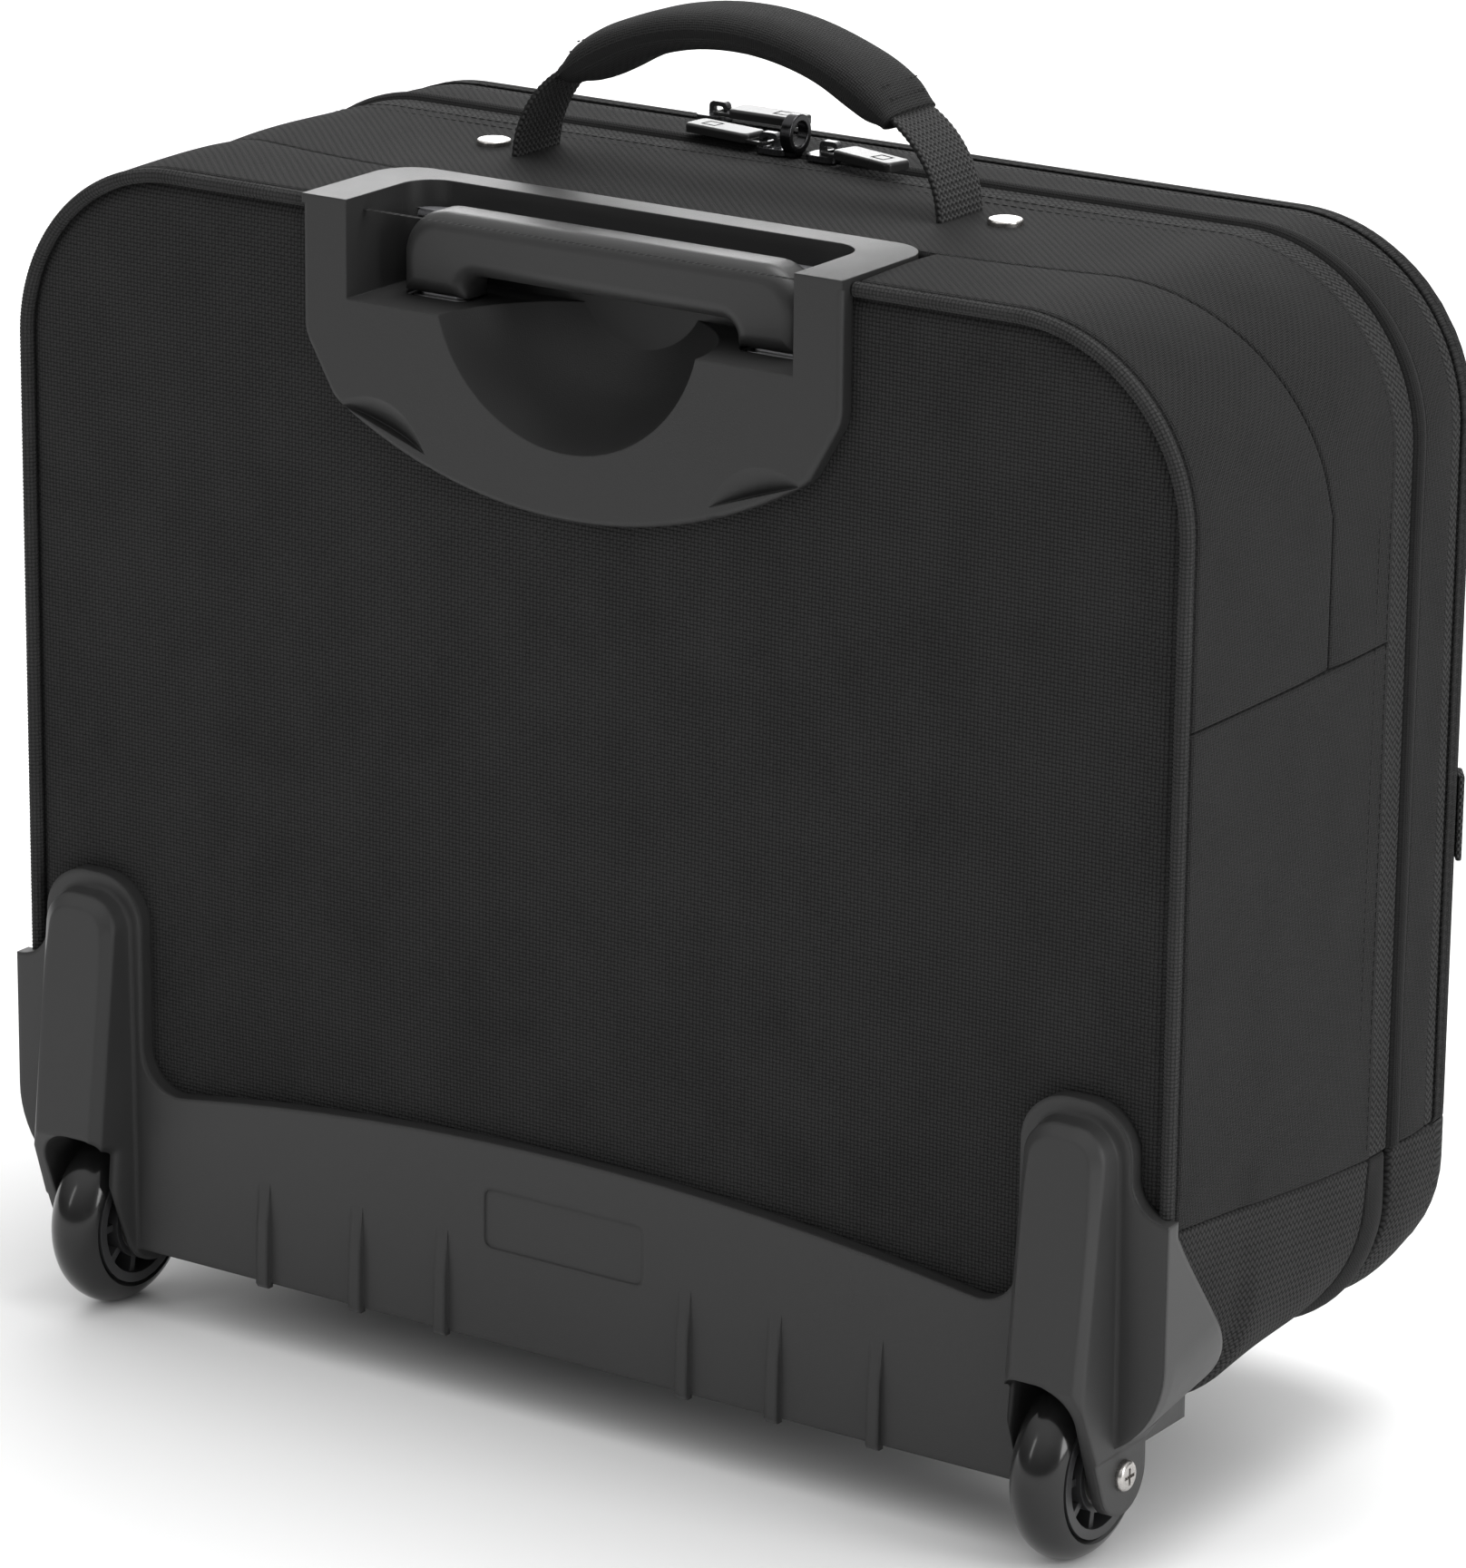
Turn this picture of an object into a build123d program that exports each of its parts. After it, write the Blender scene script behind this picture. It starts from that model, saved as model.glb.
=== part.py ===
from build123d import *
from math import atan2, cos, degrees, radians, sin
import os

os.makedirs("parts", exist_ok=True)

# Rolling laptop case. Millimetres, +Z up, floor at z = 0, x = 0 is the mid-plane. The trolley handle and
# the wheels are on the rear, +Y. Left is +X, as seen by someone who walks behind the case.

# ---- Driving dimensions ----
overall_depth = 215.0
body_width = 437.0
body_top = 388.0
body_bottom = 39.0
top_corner_r = 62.0
bottom_corner_r = 45.0

wheel_d = 60.0
tyre_width = 19.0
wheel_inset = 32.5  # wheel centre plane, in from the side of the body
fork_t = 4.0
wheel_gap = 3.0  # free space beside the tyre
well_clear = 4.0  # free space round the tread

back_inset = 27.5  # rear fabric face, in from the rearmost point of the wheels
fabric_t = 2.5
piping_d = 4.0
board_t = 2.0
lining_t = 1.2
false_back_y_inset = 29.5  # lining behind the tubes, in from the rear fabric face
front_section = 53.0  # zipper line to the frontmost point
badge_t = 2.0
flap_depth = 21.0  # organiser zipper line to the front fabric face
flap_hinge_z = 99.0
flap_edge_r = 19.0
flap_wall = 3.0

coil_w = 1.3
tape_t = 1.2
case_tape = 12.5
lid_tape = 6.0
zip_gap = 0.2  # half of the gap between two closed coils

housing_half = 100.0
housing_stand = 6.0  # how far the housing stands off the rear fabric
housing_front = 46.0  # housing's depth in from the rear fabric face, at the top
housing_low = 90.0  # lowest point of the housing, below its top face
recess_half = 83.0
recess_depth = 31.5  # top face of the housing to the ledges
recess_front = 35.0  # recess, in from the rear fabric face
recess_corner_r = 11.0
mould_wall = 2.5
scoop_r = 49.5
scoop_rise = 12.5  # scoop's centre above the ledges

tube_x = 62.5
tube_y_inset = 18.5  # tube centres, in from the rear fabric face
outer_tube = (25.0, 15.0)
tube_wall = 1.0
stage_step = 4.2  # an inner stage is this much narrower than the stage round it
slide_gap = 0.3
guide_h = 12.0
grip_half = 74.0
grip_leg = 23.5
grip_top = 4.0  # grip's top below the housing's top face
grip_bar = 19.0
grip_t = 18.0
rod_r = 1.5

plate_stand = 6.0
plate_wall = 3.0
wrap_t = 2.2
lip_z = 23.0
arm_top = 151.0
arm_half = 19.5
wing_top = 117.0
bearing_r = 11.0
bearing_w = 7.0
sleeve_r = 4.0
running_gap = 0.05
foot_x = 118.0

strap_w = 25.0
strap_t = 2.2
handle_y_inset = 91.5  # carry handle, in from the rear fabric face
handle_half = 80.0
handle_rise = 50.5  # webbing's crown above the top of the body
rivet_x = 96.5

slider_meet_x = 7.0
slider_len = 11.0
slider_w = 9.0
puller_len = 27.0

# ---- Places worked out from them ----
rear_y = overall_depth / 2
front_y = -overall_depth / 2
half = body_width / 2
back_y = rear_y - back_inset
zip_y = front_y + front_section
face_y = front_y + badge_t
flap_zip_y = face_y + flap_depth
wheel_r = wheel_d / 2
wheel_x = half - wheel_inset
axle_y = rear_y - wheel_r
plate_y = back_y + plate_stand
housing_y = back_y + housing_stand
housing_top = body_top + 1.5
ledge_z = housing_top - recess_depth
tube_y = back_y - tube_y_inset
handle_y = back_y - handle_y_inset
well_r = wheel_r + well_clear
well_in = wheel_x - tyre_width / 2 - wheel_gap
well_out = wheel_x + tyre_width / 2 + wheel_gap
sides = {"left": 1, "right": -1}


# ---- Shared shapes ----
def facing(y):
    """Plane across the case at y. A sketch on it uses x and z, and extrude goes forward, to -Y."""
    return Plane.XZ.offset(-y)


def case_outline(inset=0.0, low_r=bottom_corner_r):
    """The case's outline from behind, drawn in evenly by inset."""
    with BuildSketch(mode=Mode.PRIVATE) as flat:
        with Locations((0, (body_top + body_bottom) / 2)):
            Rectangle(body_width - 2 * inset, body_top - body_bottom - 2 * inset)
        fillet(flat.vertices().group_by(Axis.Y)[-1], top_corner_r - inset)
        fillet(flat.vertices().group_by(Axis.Y)[0], low_r - inset)
    return flat.sketch


def band(y_rear, y_front, outer_inset, inner_inset):
    """A hoop that follows the case's outline from y_rear forward to y_front."""
    with BuildPart(mode=Mode.PRIVATE) as hoop:
        with BuildSketch(facing(y_rear)):
            add(case_outline(outer_inset))
            add(case_outline(inner_inset), mode=Mode.SUBTRACT)
        extrude(amount=y_rear - y_front)
    return hoop.part


def slab(y_rear, y_front, inset):
    """A plate of the case's outline from y_rear forward to y_front."""
    with BuildPart(mode=Mode.PRIVATE) as plate:
        with BuildSketch(facing(y_rear)):
            add(case_outline(inset))
        extrude(amount=y_rear - y_front)
    return plate.part


def block(low, high):
    """A box between two corners."""
    size = [b - a for a, b in zip(low, high)]
    middle = [(a + b) / 2 for a, b in zip(low, high)]
    return Pos(*middle) * Box(*size, mode=Mode.PRIVATE)


def tube_section(size):
    """Rounded rectangle of a trolley tube stage."""
    return RectangleRounded(size[0], size[1], min(size) * 0.35)


def shrink(size, by):
    return (size[0] - by, size[1] - by)


screw_r = 2.0
screw_head_r = 3.6
screw_head_t = 1.4
screw_skin = 2.0  # moulding left over the end of a screw
board_front = back_y - fabric_t - 0.2 - board_t
foot_screw_y = zip_y + 30
board_low = body_bottom + fabric_t + 0.2


def wall_screw(x, z, end_y):
    """A flush screw from the back board rearward into a moulding."""
    with BuildPart(mode=Mode.PRIVATE) as screw:
        with BuildSketch(facing(end_y)):
            with Locations((x, z)):
                Circle(screw_r)
        extrude(amount=end_y - board_front)
        with BuildSketch(facing(board_front + screw_head_t)):
            with Locations((x, z)):
                Circle(screw_head_r)
        extrude(amount=screw_head_t)
    return screw.part


def foot_screw(x, y):
    """A flush screw from the bottom board down into a foot."""
    top = board_low + board_t
    with BuildPart(mode=Mode.PRIVATE) as screw:
        with Locations((x, y, top - 11)):
            Cylinder(screw_r, 22)
        with Locations((x, y, top - screw_head_t / 2)):
            Cylinder(screw_head_r, screw_head_t)
    return screw.part


plate_screw_x = (55.0, 135.0)
plate_screw_z = 58.0
housing_screw_x = housing_half - 7.5
screws = []
for sign in sides.values():
    for dz in (12.0, 26.0):
        screws.append(wall_screw(sign * housing_screw_x, ledge_z + dz - 6, housing_y - screw_skin))
    for x in plate_screw_x:
        screws.append(wall_screw(sign * x, plate_screw_z, plate_y - screw_skin))
    screws.append(foot_screw(sign * foot_x, foot_screw_y))

big = 600.0
above_hinge = block((-big, -big, flap_hinge_z), (big, big, big))
below_hinge = block((-big, -big, -big), (big, big, flap_hinge_z))

well_top = wheel_r + well_r + 0.5
well_box_in = well_in - mould_wall
well_box_out = well_out + fork_t

# The wheel wells as the soft parts see them: the moulded box round each wheel.
well_boxes = [
    block(
        (min(sign * well_box_in, sign * well_box_out), axle_y - well_r - mould_wall, 0),
        (max(sign * well_box_in, sign * well_box_out), back_y + 1, well_top + mould_wall),
    )
    for sign in sides.values()
]

# ---- Trolley housing ----
scoop_z = ledge_z + scoop_rise
shoulder = 0.887 * housing_half
with BuildSketch(mode=Mode.PRIVATE) as housing_face:
    with BuildLine():
        low_z = housing_top - housing_low
        Polyline(
            (-shoulder, low_z + 26),
            (-housing_half, low_z + 46),
            (-housing_half, housing_top),
            (housing_half, housing_top),
            (housing_half, low_z + 46),
            (shoulder, low_z + 26),
        )
        ThreePointArc((shoulder, low_z + 26), (0, low_z), (-shoulder, low_z + 26))
    make_face()
    fillet(housing_face.vertices().group_by(Axis.Y)[0], 12)
    fillet(housing_face.vertices().filter_by_position(Axis.Y, low_z + 40, low_z + 50), 14)

with BuildSketch(mode=Mode.PRIVATE) as core_face:
    with Locations((0, (ledge_z - mould_wall + housing_top) / 2)):
        Rectangle(2 * (recess_half + mould_wall), housing_top - ledge_z + mould_wall)
    with Locations((0, scoop_z)):
        Circle(scoop_r + mould_wall)
    with Locations((0, housing_top + big / 2)):
        Rectangle(big, big, mode=Mode.SUBTRACT)

with BuildSketch(mode=Mode.PRIVATE) as top_face:
    with Locations((0, (back_y - housing_front + housing_y) / 2)):
        Rectangle(2 * housing_half, housing_y - back_y + housing_front)
    fillet(top_face.vertices().group_by(Axis.Y)[0], 14)

# What the housing takes out of the soft parts behind it.
with BuildPart(mode=Mode.PRIVATE) as housing_room:
    with BuildSketch(facing(housing_y)):
        add(core_face.sketch)
    extrude(amount=housing_y - back_y + recess_front + mould_wall + 4)
    with BuildSketch(Plane.XY.offset(housing_top - 3)):
        add(top_face.sketch)
    extrude(amount=6)

# Lens-shaped thumb dimple along each lower edge of the housing: deepest at its straight lower side.
dimple_x = 0.70 * housing_half
dimple_z = low_z + 19
dimple_rise = 19.0
dimple_high = 9.0
dimple_deep = 4.0
dimple_r = 46.0
dimple_lean = degrees(atan2(dimple_deep, dimple_high))
with BuildPart(mode=Mode.PRIVATE) as dimple:
    with Locations((0, dimple_r / cos(radians(dimple_lean)) - dimple_deep, 0)):
        Cylinder(dimple_r, 60, rotation=(-dimple_lean, 0, 0))
    with Locations((0, 0, dimple_high)):
        Box(60, 40, 2 * dimple_high, mode=Mode.INTERSECT)

# Bowl for the fingers under the grip, flat where it meets the recess's front wall.
with BuildPart(mode=Mode.PRIVATE) as scoop:
    with Locations((0, housing_y + 2, scoop_z)):
        Sphere(scoop_r)
    add(block((-big, back_y - recess_front, -big), (big, big, big)), mode=Mode.INTERSECT)

pocket_low = (0.52 * housing_half, back_y, low_z + 34)
pocket_high = (0.80 * housing_half, housing_y - mould_wall, ledge_z - 6)
with BuildPart() as handle_housing:
    with BuildSketch(facing(housing_y)):
        add(housing_face.sketch)
    extrude(amount=housing_stand)
    fillet(handle_housing.faces().sort_by(Axis.Y)[-1].edges().group_by(Axis.Z)[0], 2.0)
    with BuildSketch(facing(housing_y)):
        add(core_face.sketch)
    extrude(amount=housing_y - back_y + recess_front + mould_wall)
    with BuildSketch(Plane.XY.offset(housing_top - 3)):
        add(top_face.sketch)
    extrude(amount=3)
    # open recess for the grip, and the finger scoop below it
    with BuildSketch(Plane.XY.offset(ledge_z)) as recess_plan:
        with Locations((0, (back_y - recess_front + housing_y + 1) / 2)):
            Rectangle(2 * recess_half, housing_y + 1 - back_y + recess_front)
        fillet(recess_plan.vertices().group_by(Axis.Y)[0], recess_corner_r)
    extrude(amount=recess_depth + 1, mode=Mode.SUBTRACT)
    add(scoop.part, mode=Mode.SUBTRACT)
    for sign in sides.values():
        with BuildSketch(Plane.XY.offset(ledge_z - 10)):
            with Locations((sign * tube_x, tube_y)):
                tube_section(outer_tube)
        extrude(amount=11, mode=Mode.SUBTRACT)
        place = Location((sign * dimple_x, housing_y, dimple_z), (0, -sign * dimple_rise, 0))
        add(dimple.part.moved(place), mode=Mode.SUBTRACT)
        low_x, high_x = sorted((sign * pocket_low[0], sign * pocket_high[0]))
        pocket = block((low_x, pocket_low[1], pocket_low[2]), (high_x, pocket_high[1], pocket_high[2]))
        add(pocket, mode=Mode.SUBTRACT)
    add(screws, mode=Mode.SUBTRACT)
handle_housing.part.label = "handle_housing"
export_step(handle_housing.part, "parts/handle_housing.step")


# ---- Soft case ----
def save(piece, name):
    piece.label = name
    export_step(piece, f"parts/{name}.step")


wall_front = zip_y + case_tape
wall_rear = back_y - piping_d + 1.0

with BuildPart() as back_panel:
    add(slab(back_y, back_y - fabric_t, piping_d))
    add(housing_room.part, mode=Mode.SUBTRACT)
    add(well_boxes, mode=Mode.SUBTRACT)
    add(screws, mode=Mode.SUBTRACT)
save(back_panel.part, "back_panel")

with BuildPart() as back_piping:
    add(band(back_y + 1.0, wall_rear, 0, piping_d))
    fillet(back_piping.edges(), piping_d * 0.47)
    add(block((-housing_half, -big, ledge_z), (housing_half, big, big)), mode=Mode.SUBTRACT)
    add(block((-big, back_y, 0), (big, big, wing_top + 1)), mode=Mode.SUBTRACT)
    add(well_boxes, mode=Mode.SUBTRACT)
save(back_piping.part, "back_piping")

with BuildPart() as gusset:
    add(band(wall_rear, wall_front, 0, fabric_t))
    add(above_hinge, mode=Mode.INTERSECT)
    add(housing_room.part, mode=Mode.SUBTRACT)
    for sign in sides.values():
        slit = (sign * handle_half, handle_y, body_top)
        with Locations(slit):
            Box(strap_t + 0.6, strap_w + 0.6, 3 * fabric_t, mode=Mode.SUBTRACT)
        with Locations((sign * rivet_x, handle_y, body_top)):
            Cylinder(2.0, 3 * fabric_t, mode=Mode.SUBTRACT)
save(gusset.part, "gusset")

with BuildPart() as bottom_panel:
    add(band(wall_rear, wall_front, 0, fabric_t))
    add(band(wall_front, zip_y + coil_w + zip_gap, 0, fabric_t))
    add(below_hinge, mode=Mode.INTERSECT)
    add(well_boxes, mode=Mode.SUBTRACT)
    add(screws, mode=Mode.SUBTRACT)
save(bottom_panel.part, "bottom_panel")


def zipper_side(y_coil, y_edge):
    """One side of a zipper: its woven tape, with the coil along the edge at y_coil."""
    toward = 1 if y_edge > y_coil else -1
    coil_edge = y_coil + toward * coil_w
    with BuildPart(mode=Mode.PRIVATE) as side:
        add(band(max(coil_edge, y_edge), min(coil_edge, y_edge), 0.3, 0.3 + tape_t))
        add(band(max(y_coil, coil_edge), min(y_coil, coil_edge), 0, 0.6 + tape_t))
        add(above_hinge, mode=Mode.INTERSECT)
    return side.part


save(zipper_side(zip_y + zip_gap, wall_front), "main_zip_case")
save(zipper_side(zip_y - zip_gap, zip_y - lid_tape), "main_zip_front")

frame_inset = fabric_t + 0.2
with BuildPart() as opening_frame:
    add(band(wall_front + 10, wall_front + 1, frame_inset, frame_inset + board_t))
save(opening_frame.part, "opening_frame")

with BuildPart() as back_board:
    add(slab(back_y - fabric_t - 0.2, back_y - fabric_t - 0.2 - board_t, frame_inset + board_t))
    add(housing_room.part, mode=Mode.SUBTRACT)
    add(well_boxes, mode=Mode.SUBTRACT)
    add(screws, mode=Mode.SUBTRACT)
save(back_board.part, "back_board")

# lining: a tub open to the front, with a false back in front of the trolley tubes
lining_inset = frame_inset + board_t + 2.0
false_back = back_y - false_back_y_inset
housing_box = block(
    (-recess_half - mould_wall - 2, back_y - housing_front - 1.5, scoop_z - scoop_r - mould_wall - 2),
    (recess_half + mould_wall + 2, back_y, big),
)
housing_box_skin = block(
    (-recess_half - mould_wall - 2 - lining_t, back_y - housing_front - 1.5 - lining_t,
     scoop_z - scoop_r - mould_wall - 2 - lining_t),
    (recess_half + mould_wall + 2 + lining_t, false_back, big),
)
with BuildPart() as lining:
    add(slab(false_back, wall_front + 1, lining_inset))
    add(slab(false_back - lining_t, wall_front, lining_inset + lining_t), mode=Mode.SUBTRACT)
    add(housing_box_skin)
    add(slab(false_back + 1, wall_front + 1, lining_inset), mode=Mode.INTERSECT)
    add(housing_box, mode=Mode.SUBTRACT)
    add(well_boxes, mode=Mode.SUBTRACT)
save(lining.part, "lining")

with BuildPart() as bottom_board:
    add(
        block(
            (-well_in + mould_wall + 4, wall_front + 10.2, board_low),
            (well_in - mould_wall - 4, back_y - fabric_t - board_t - 1, board_low + board_t),
        )
    )
    add(screws, mode=Mode.SUBTRACT)
save(bottom_board.part, "bottom_board")

# ---- Laptop sleeve, inside the main compartment ----
sleeve_half = body_width / 2 - 26
sleeve_low = well_top + mould_wall + 6
sleeve_high = body_top - 118
sleeve_depth = 36.0
sleeve_pad = 7.0
sleeve_rear = false_back - lining_t - 0.3
with BuildPart() as laptop_sleeve:
    add(
        block(
            (-sleeve_half, sleeve_rear - sleeve_depth, sleeve_low),
            (sleeve_half, sleeve_rear, sleeve_high),
        )
    )
    fillet(laptop_sleeve.edges().filter_by(Axis.Y).group_by(Axis.Z)[-1], 18)
    add(
        block(
            (-sleeve_half + sleeve_pad, sleeve_rear - sleeve_depth + sleeve_pad, sleeve_low + sleeve_pad),
            (sleeve_half - sleeve_pad, sleeve_rear + 1, sleeve_high + 1),
        ),
        mode=Mode.SUBTRACT,
    )
save(laptop_sleeve.part, "laptop_sleeve")

sleeve_front = sleeve_rear - sleeve_depth
with BuildPart() as sleeve_strap:
    with BuildSketch(facing(sleeve_front)):
        with Locations((0, sleeve_high - 50)):
            RectangleRounded(40, 92, 8)
    extrude(amount=2.0)
save(sleeve_strap.part, "sleeve_strap")

# ---- Front organiser section ----
with BuildPart(mode=Mode.PRIVATE) as front_hollow:
    with BuildSketch(facing(flap_zip_y + 1)):
        add(case_outline(flap_wall))
    extrude(amount=flap_zip_y + 1 - face_y - flap_wall)
    fillet(front_hollow.faces().sort_by(Axis.Y)[0].edges(), flap_edge_r - flap_wall)

with BuildPart(mode=Mode.PRIVATE) as front_blank:
    with BuildSketch(facing(flap_zip_y - coil_w - zip_gap)):
        add(case_outline())
    extrude(amount=flap_zip_y - coil_w - zip_gap - face_y)
    fillet(front_blank.faces().sort_by(Axis.Y)[0].edges(), flap_edge_r)
    add(front_hollow.part, mode=Mode.SUBTRACT)

organiser_rear = zip_y - coil_w - zip_gap
organiser_board = 2.7
tray_split = 0.25
with BuildPart() as organiser_back:
    add(slab(organiser_rear, organiser_rear - organiser_board, fabric_t + 0.5))
save(organiser_back.part, "organiser_back")

with BuildPart() as organiser_gusset:
    add(band(zip_y - lid_tape, flap_zip_y + lid_tape, 0, fabric_t))
    add(above_hinge, mode=Mode.INTERSECT)
save(organiser_gusset.part, "organiser_gusset")

with BuildPart() as organiser_tray:
    add(band(organiser_rear, flap_zip_y - coil_w - zip_gap, 0, fabric_t))
    add(front_blank.part)
    add(below_hinge, mode=Mode.INTERSECT)
    with Locations((0, 0, flap_hinge_z)):
        Box(big, big, 2 * tray_split, mode=Mode.SUBTRACT)
save(organiser_tray.part, "organiser_tray")

save(zipper_side(flap_zip_y + zip_gap, flap_zip_y + lid_tape), "flap_zip_section")
pocket_half = body_width / 2 - 40
with BuildPart() as organiser_pockets:
    add(
        block(
            (-pocket_half, organiser_rear - organiser_board - 9, flap_hinge_z - 36),
            (pocket_half, organiser_rear - organiser_board, body_top - 130),
        )
    )
    fillet(organiser_pockets.edges().filter_by(Axis.Y), 10)
    for x_mid, wide, low in ((-105, 150, 30), (20, 60, 60), (112, 90, 45)):
        add(
            block(
                (x_mid - wide / 2, organiser_rear - organiser_board - 7.5, flap_hinge_z - 30 + low),
                (x_mid + wide / 2, organiser_rear - organiser_board - 1.5, big),
            ),
            mode=Mode.SUBTRACT,
        )
save(organiser_pockets.part, "organiser_pockets")

with BuildPart() as flap_panel:
    add(front_blank.part)
    add(above_hinge, mode=Mode.INTERSECT)
    with Locations((0, 0, flap_hinge_z)):
        Box(big, big, 2 * tray_split, mode=Mode.SUBTRACT)
    # room for this side's tape and coil
    add(band(flap_zip_y + 1, flap_zip_y - 4, -1, 0.7 + tape_t), mode=Mode.SUBTRACT)
save(flap_panel.part, "flap_panel")

with BuildPart() as flap_zip_flap:
    add(zipper_side(flap_zip_y - zip_gap, flap_zip_y - 3.9))
    with Locations((0, 0, flap_hinge_z)):
        Box(big, big, 2 * tray_split, mode=Mode.SUBTRACT)
save(flap_zip_flap.part, "flap_zip_flap")

with BuildPart() as front_badge:
    with BuildSketch(facing(face_y)):
        with Locations((0, body_top - 60)):
            RectangleRounded(58, 20, 4)
    extrude(amount=badge_t)
    fillet(front_badge.faces().sort_by(Axis.Y)[0].edges(), 0.6)
save(front_badge.part, "front_badge")

# ---- Trolley tubes ----
base_z = body_bottom + fabric_t + 2 * board_t + 6
middle_tube = shrink(outer_tube, stage_step)
inner_tube = shrink(middle_tube, stage_step)


def hollow_tube(size, x, low, high, wall):
    """A straight tube stage of the trolley."""
    with BuildPart(mode=Mode.PRIVATE) as tube:
        with BuildSketch(Plane.XY.offset(low)):
            with Locations((x, tube_y)):
                tube_section(size)
                RectangleRounded(size[0] - 2 * wall, size[1] - 2 * wall, min(size) * 0.25, mode=Mode.SUBTRACT)
        extrude(amount=high - low)
    return tube.part


def sleeve_ring(outer, wall, inner_fit, x, low, high):
    """A plastic ring that fills the gap between a tube and the stage that slides in it."""
    with BuildPart(mode=Mode.PRIVATE) as ring:
        with BuildSketch(Plane.XY.offset(low)):
            with Locations((x, tube_y)):
                RectangleRounded(outer[0] - 2 * wall, outer[1] - 2 * wall, min(outer) * 0.25)
                RectangleRounded(inner_fit[0], inner_fit[1], min(inner_fit) * 0.30, mode=Mode.SUBTRACT)
        extrude(amount=high - low)
    return ring.part


def foot_ring(outer, wall, tube, x, low, high):
    """A foot round the lower end of a sliding stage, a slide gap clear of the stage round it."""
    with BuildPart(mode=Mode.PRIVATE) as foot:
        with BuildSketch(Plane.XY.offset(low)):
            with Locations((x, tube_y)):
                width = outer[0] - 2 * wall - 2 * slide_gap
                depth = outer[1] - 2 * wall - 2 * slide_gap
                RectangleRounded(width, depth, min(outer) * 0.22)
                RectangleRounded(tube[0] - 2 * tube_wall, tube[1] - 2 * tube_wall, 1.0, mode=Mode.SUBTRACT)
        extrude(amount=high - low)
    return foot.part


outer_top = ledge_z - 1.0
middle_top = ledge_z - 0.4
for side, sign in sides.items():
    x = sign * tube_x
    save(hollow_tube(outer_tube, x, base_z, outer_top, tube_wall), f"outer_tube_{side}")
    save(hollow_tube(middle_tube, x, base_z + 18, middle_top, tube_wall), f"middle_tube_{side}")
    save(hollow_tube(inner_tube, x, base_z + 36, ledge_z + 9, tube_wall), f"inner_tube_{side}")

loose_middle = (middle_tube[0] + 2 * slide_gap, middle_tube[1] + 2 * slide_gap)
loose_inner = (inner_tube[0] + 2 * slide_gap, inner_tube[1] + 2 * slide_gap)
with BuildPart() as outer_guides:
    for sign in sides.values():
        add(sleeve_ring(outer_tube, tube_wall, loose_middle, sign * tube_x, outer_top - guide_h, outer_top))
save(outer_guides.part, "outer_guides")

with BuildPart() as middle_guides:
    for sign in sides.values():
        add(sleeve_ring(middle_tube, tube_wall, loose_inner, sign * tube_x, middle_top - guide_h, middle_top))
save(middle_guides.part, "middle_guides")

with BuildPart() as middle_feet:
    for sign in sides.values():
        add(foot_ring(outer_tube, tube_wall, middle_tube, sign * tube_x, base_z + 8, base_z + 18))
save(middle_feet.part, "middle_feet")

with BuildPart() as inner_feet:
    for sign in sides.values():
        add(foot_ring(middle_tube, tube_wall, inner_tube, sign * tube_x, base_z + 26, base_z + 36))
save(inner_feet.part, "inner_feet")

bracket_low = board_low + board_t
with BuildPart() as tube_bracket:
    add(
        block(
            (-tube_x - 22, tube_y - 9.5, bracket_low),
            (tube_x + 22, tube_y + 10, base_z + 22),
        )
    )
    fillet(tube_bracket.edges().filter_by(Axis.Y).group_by(Axis.Z)[-1], 6)
    with Locations((0, tube_y, base_z + 15)):
        Box(2 * tube_x - 40, 40, 20, mode=Mode.SUBTRACT)
    for sign in sides.values():
        with BuildSketch(Plane.XY.offset(base_z)):
            with Locations((sign * tube_x, tube_y)):
                tube_section(outer_tube)
        extrude(amount=30, mode=Mode.SUBTRACT)
save(tube_bracket.part, "tube_bracket")

# ---- Grip and release button ----
grip_low = ledge_z + 0.6
grip_high = housing_top - grip_top
button_half = 26.0
button_travel = 3.0
with BuildPart() as trolley_grip:
    with BuildSketch(facing(tube_y + grip_t / 2)) as grip_face:
        with Locations((0, (grip_low + grip_high) / 2)):
            Rectangle(2 * grip_half, grip_high - grip_low)
        fillet(grip_face.vertices().group_by(Axis.Y)[-1], 15)
        with Locations((0, (grip_low + grip_high - grip_bar) / 2)):
            Rectangle(2 * (grip_half - grip_leg), grip_high - grip_bar - grip_low, mode=Mode.SUBTRACT)
        inner_corners = grip_face.vertices().filter_by_position(
            Axis.Y, grip_high - grip_bar - 0.1, grip_high - grip_bar + 0.1
        )
        fillet(inner_corners, 5)
    extrude(amount=grip_t)
    fillet(trolley_grip.faces().sort_by(Axis.Y)[-1].outer_wire().edges(), 5.5)
    fillet(trolley_grip.faces().sort_by(Axis.Y)[0].outer_wire().edges(), 5.5)
    # channel for the rods, open into the button's slot
    add(
        block(
            (-tube_x - rod_r - 1, tube_y - rod_r - 1, grip_high - grip_bar + 5),
            (tube_x + rod_r + 1, tube_y + rod_r + 1, grip_high - 5),
        ),
        mode=Mode.SUBTRACT,
    )
    add(
        block(
            (-button_half - slide_gap, tube_y - 5 - slide_gap, grip_high - grip_bar - 1),
            (button_half + slide_gap, tube_y + 5 + slide_gap, grip_high - 5),
        ),
        mode=Mode.SUBTRACT,
    )
    for sign in sides.values():
        with BuildSketch(Plane.XY.offset(grip_low - 1)):
            with Locations((sign * tube_x, tube_y)):
                tube_section(inner_tube)
        extrude(amount=ledge_z + 9 - grip_low + 1, mode=Mode.SUBTRACT)
        with Locations((sign * tube_x, tube_y, grip_high - grip_bar)):
            Cylinder(rod_r + 0.8, 30, mode=Mode.SUBTRACT)
save(trolley_grip.part, "trolley_grip")

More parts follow.
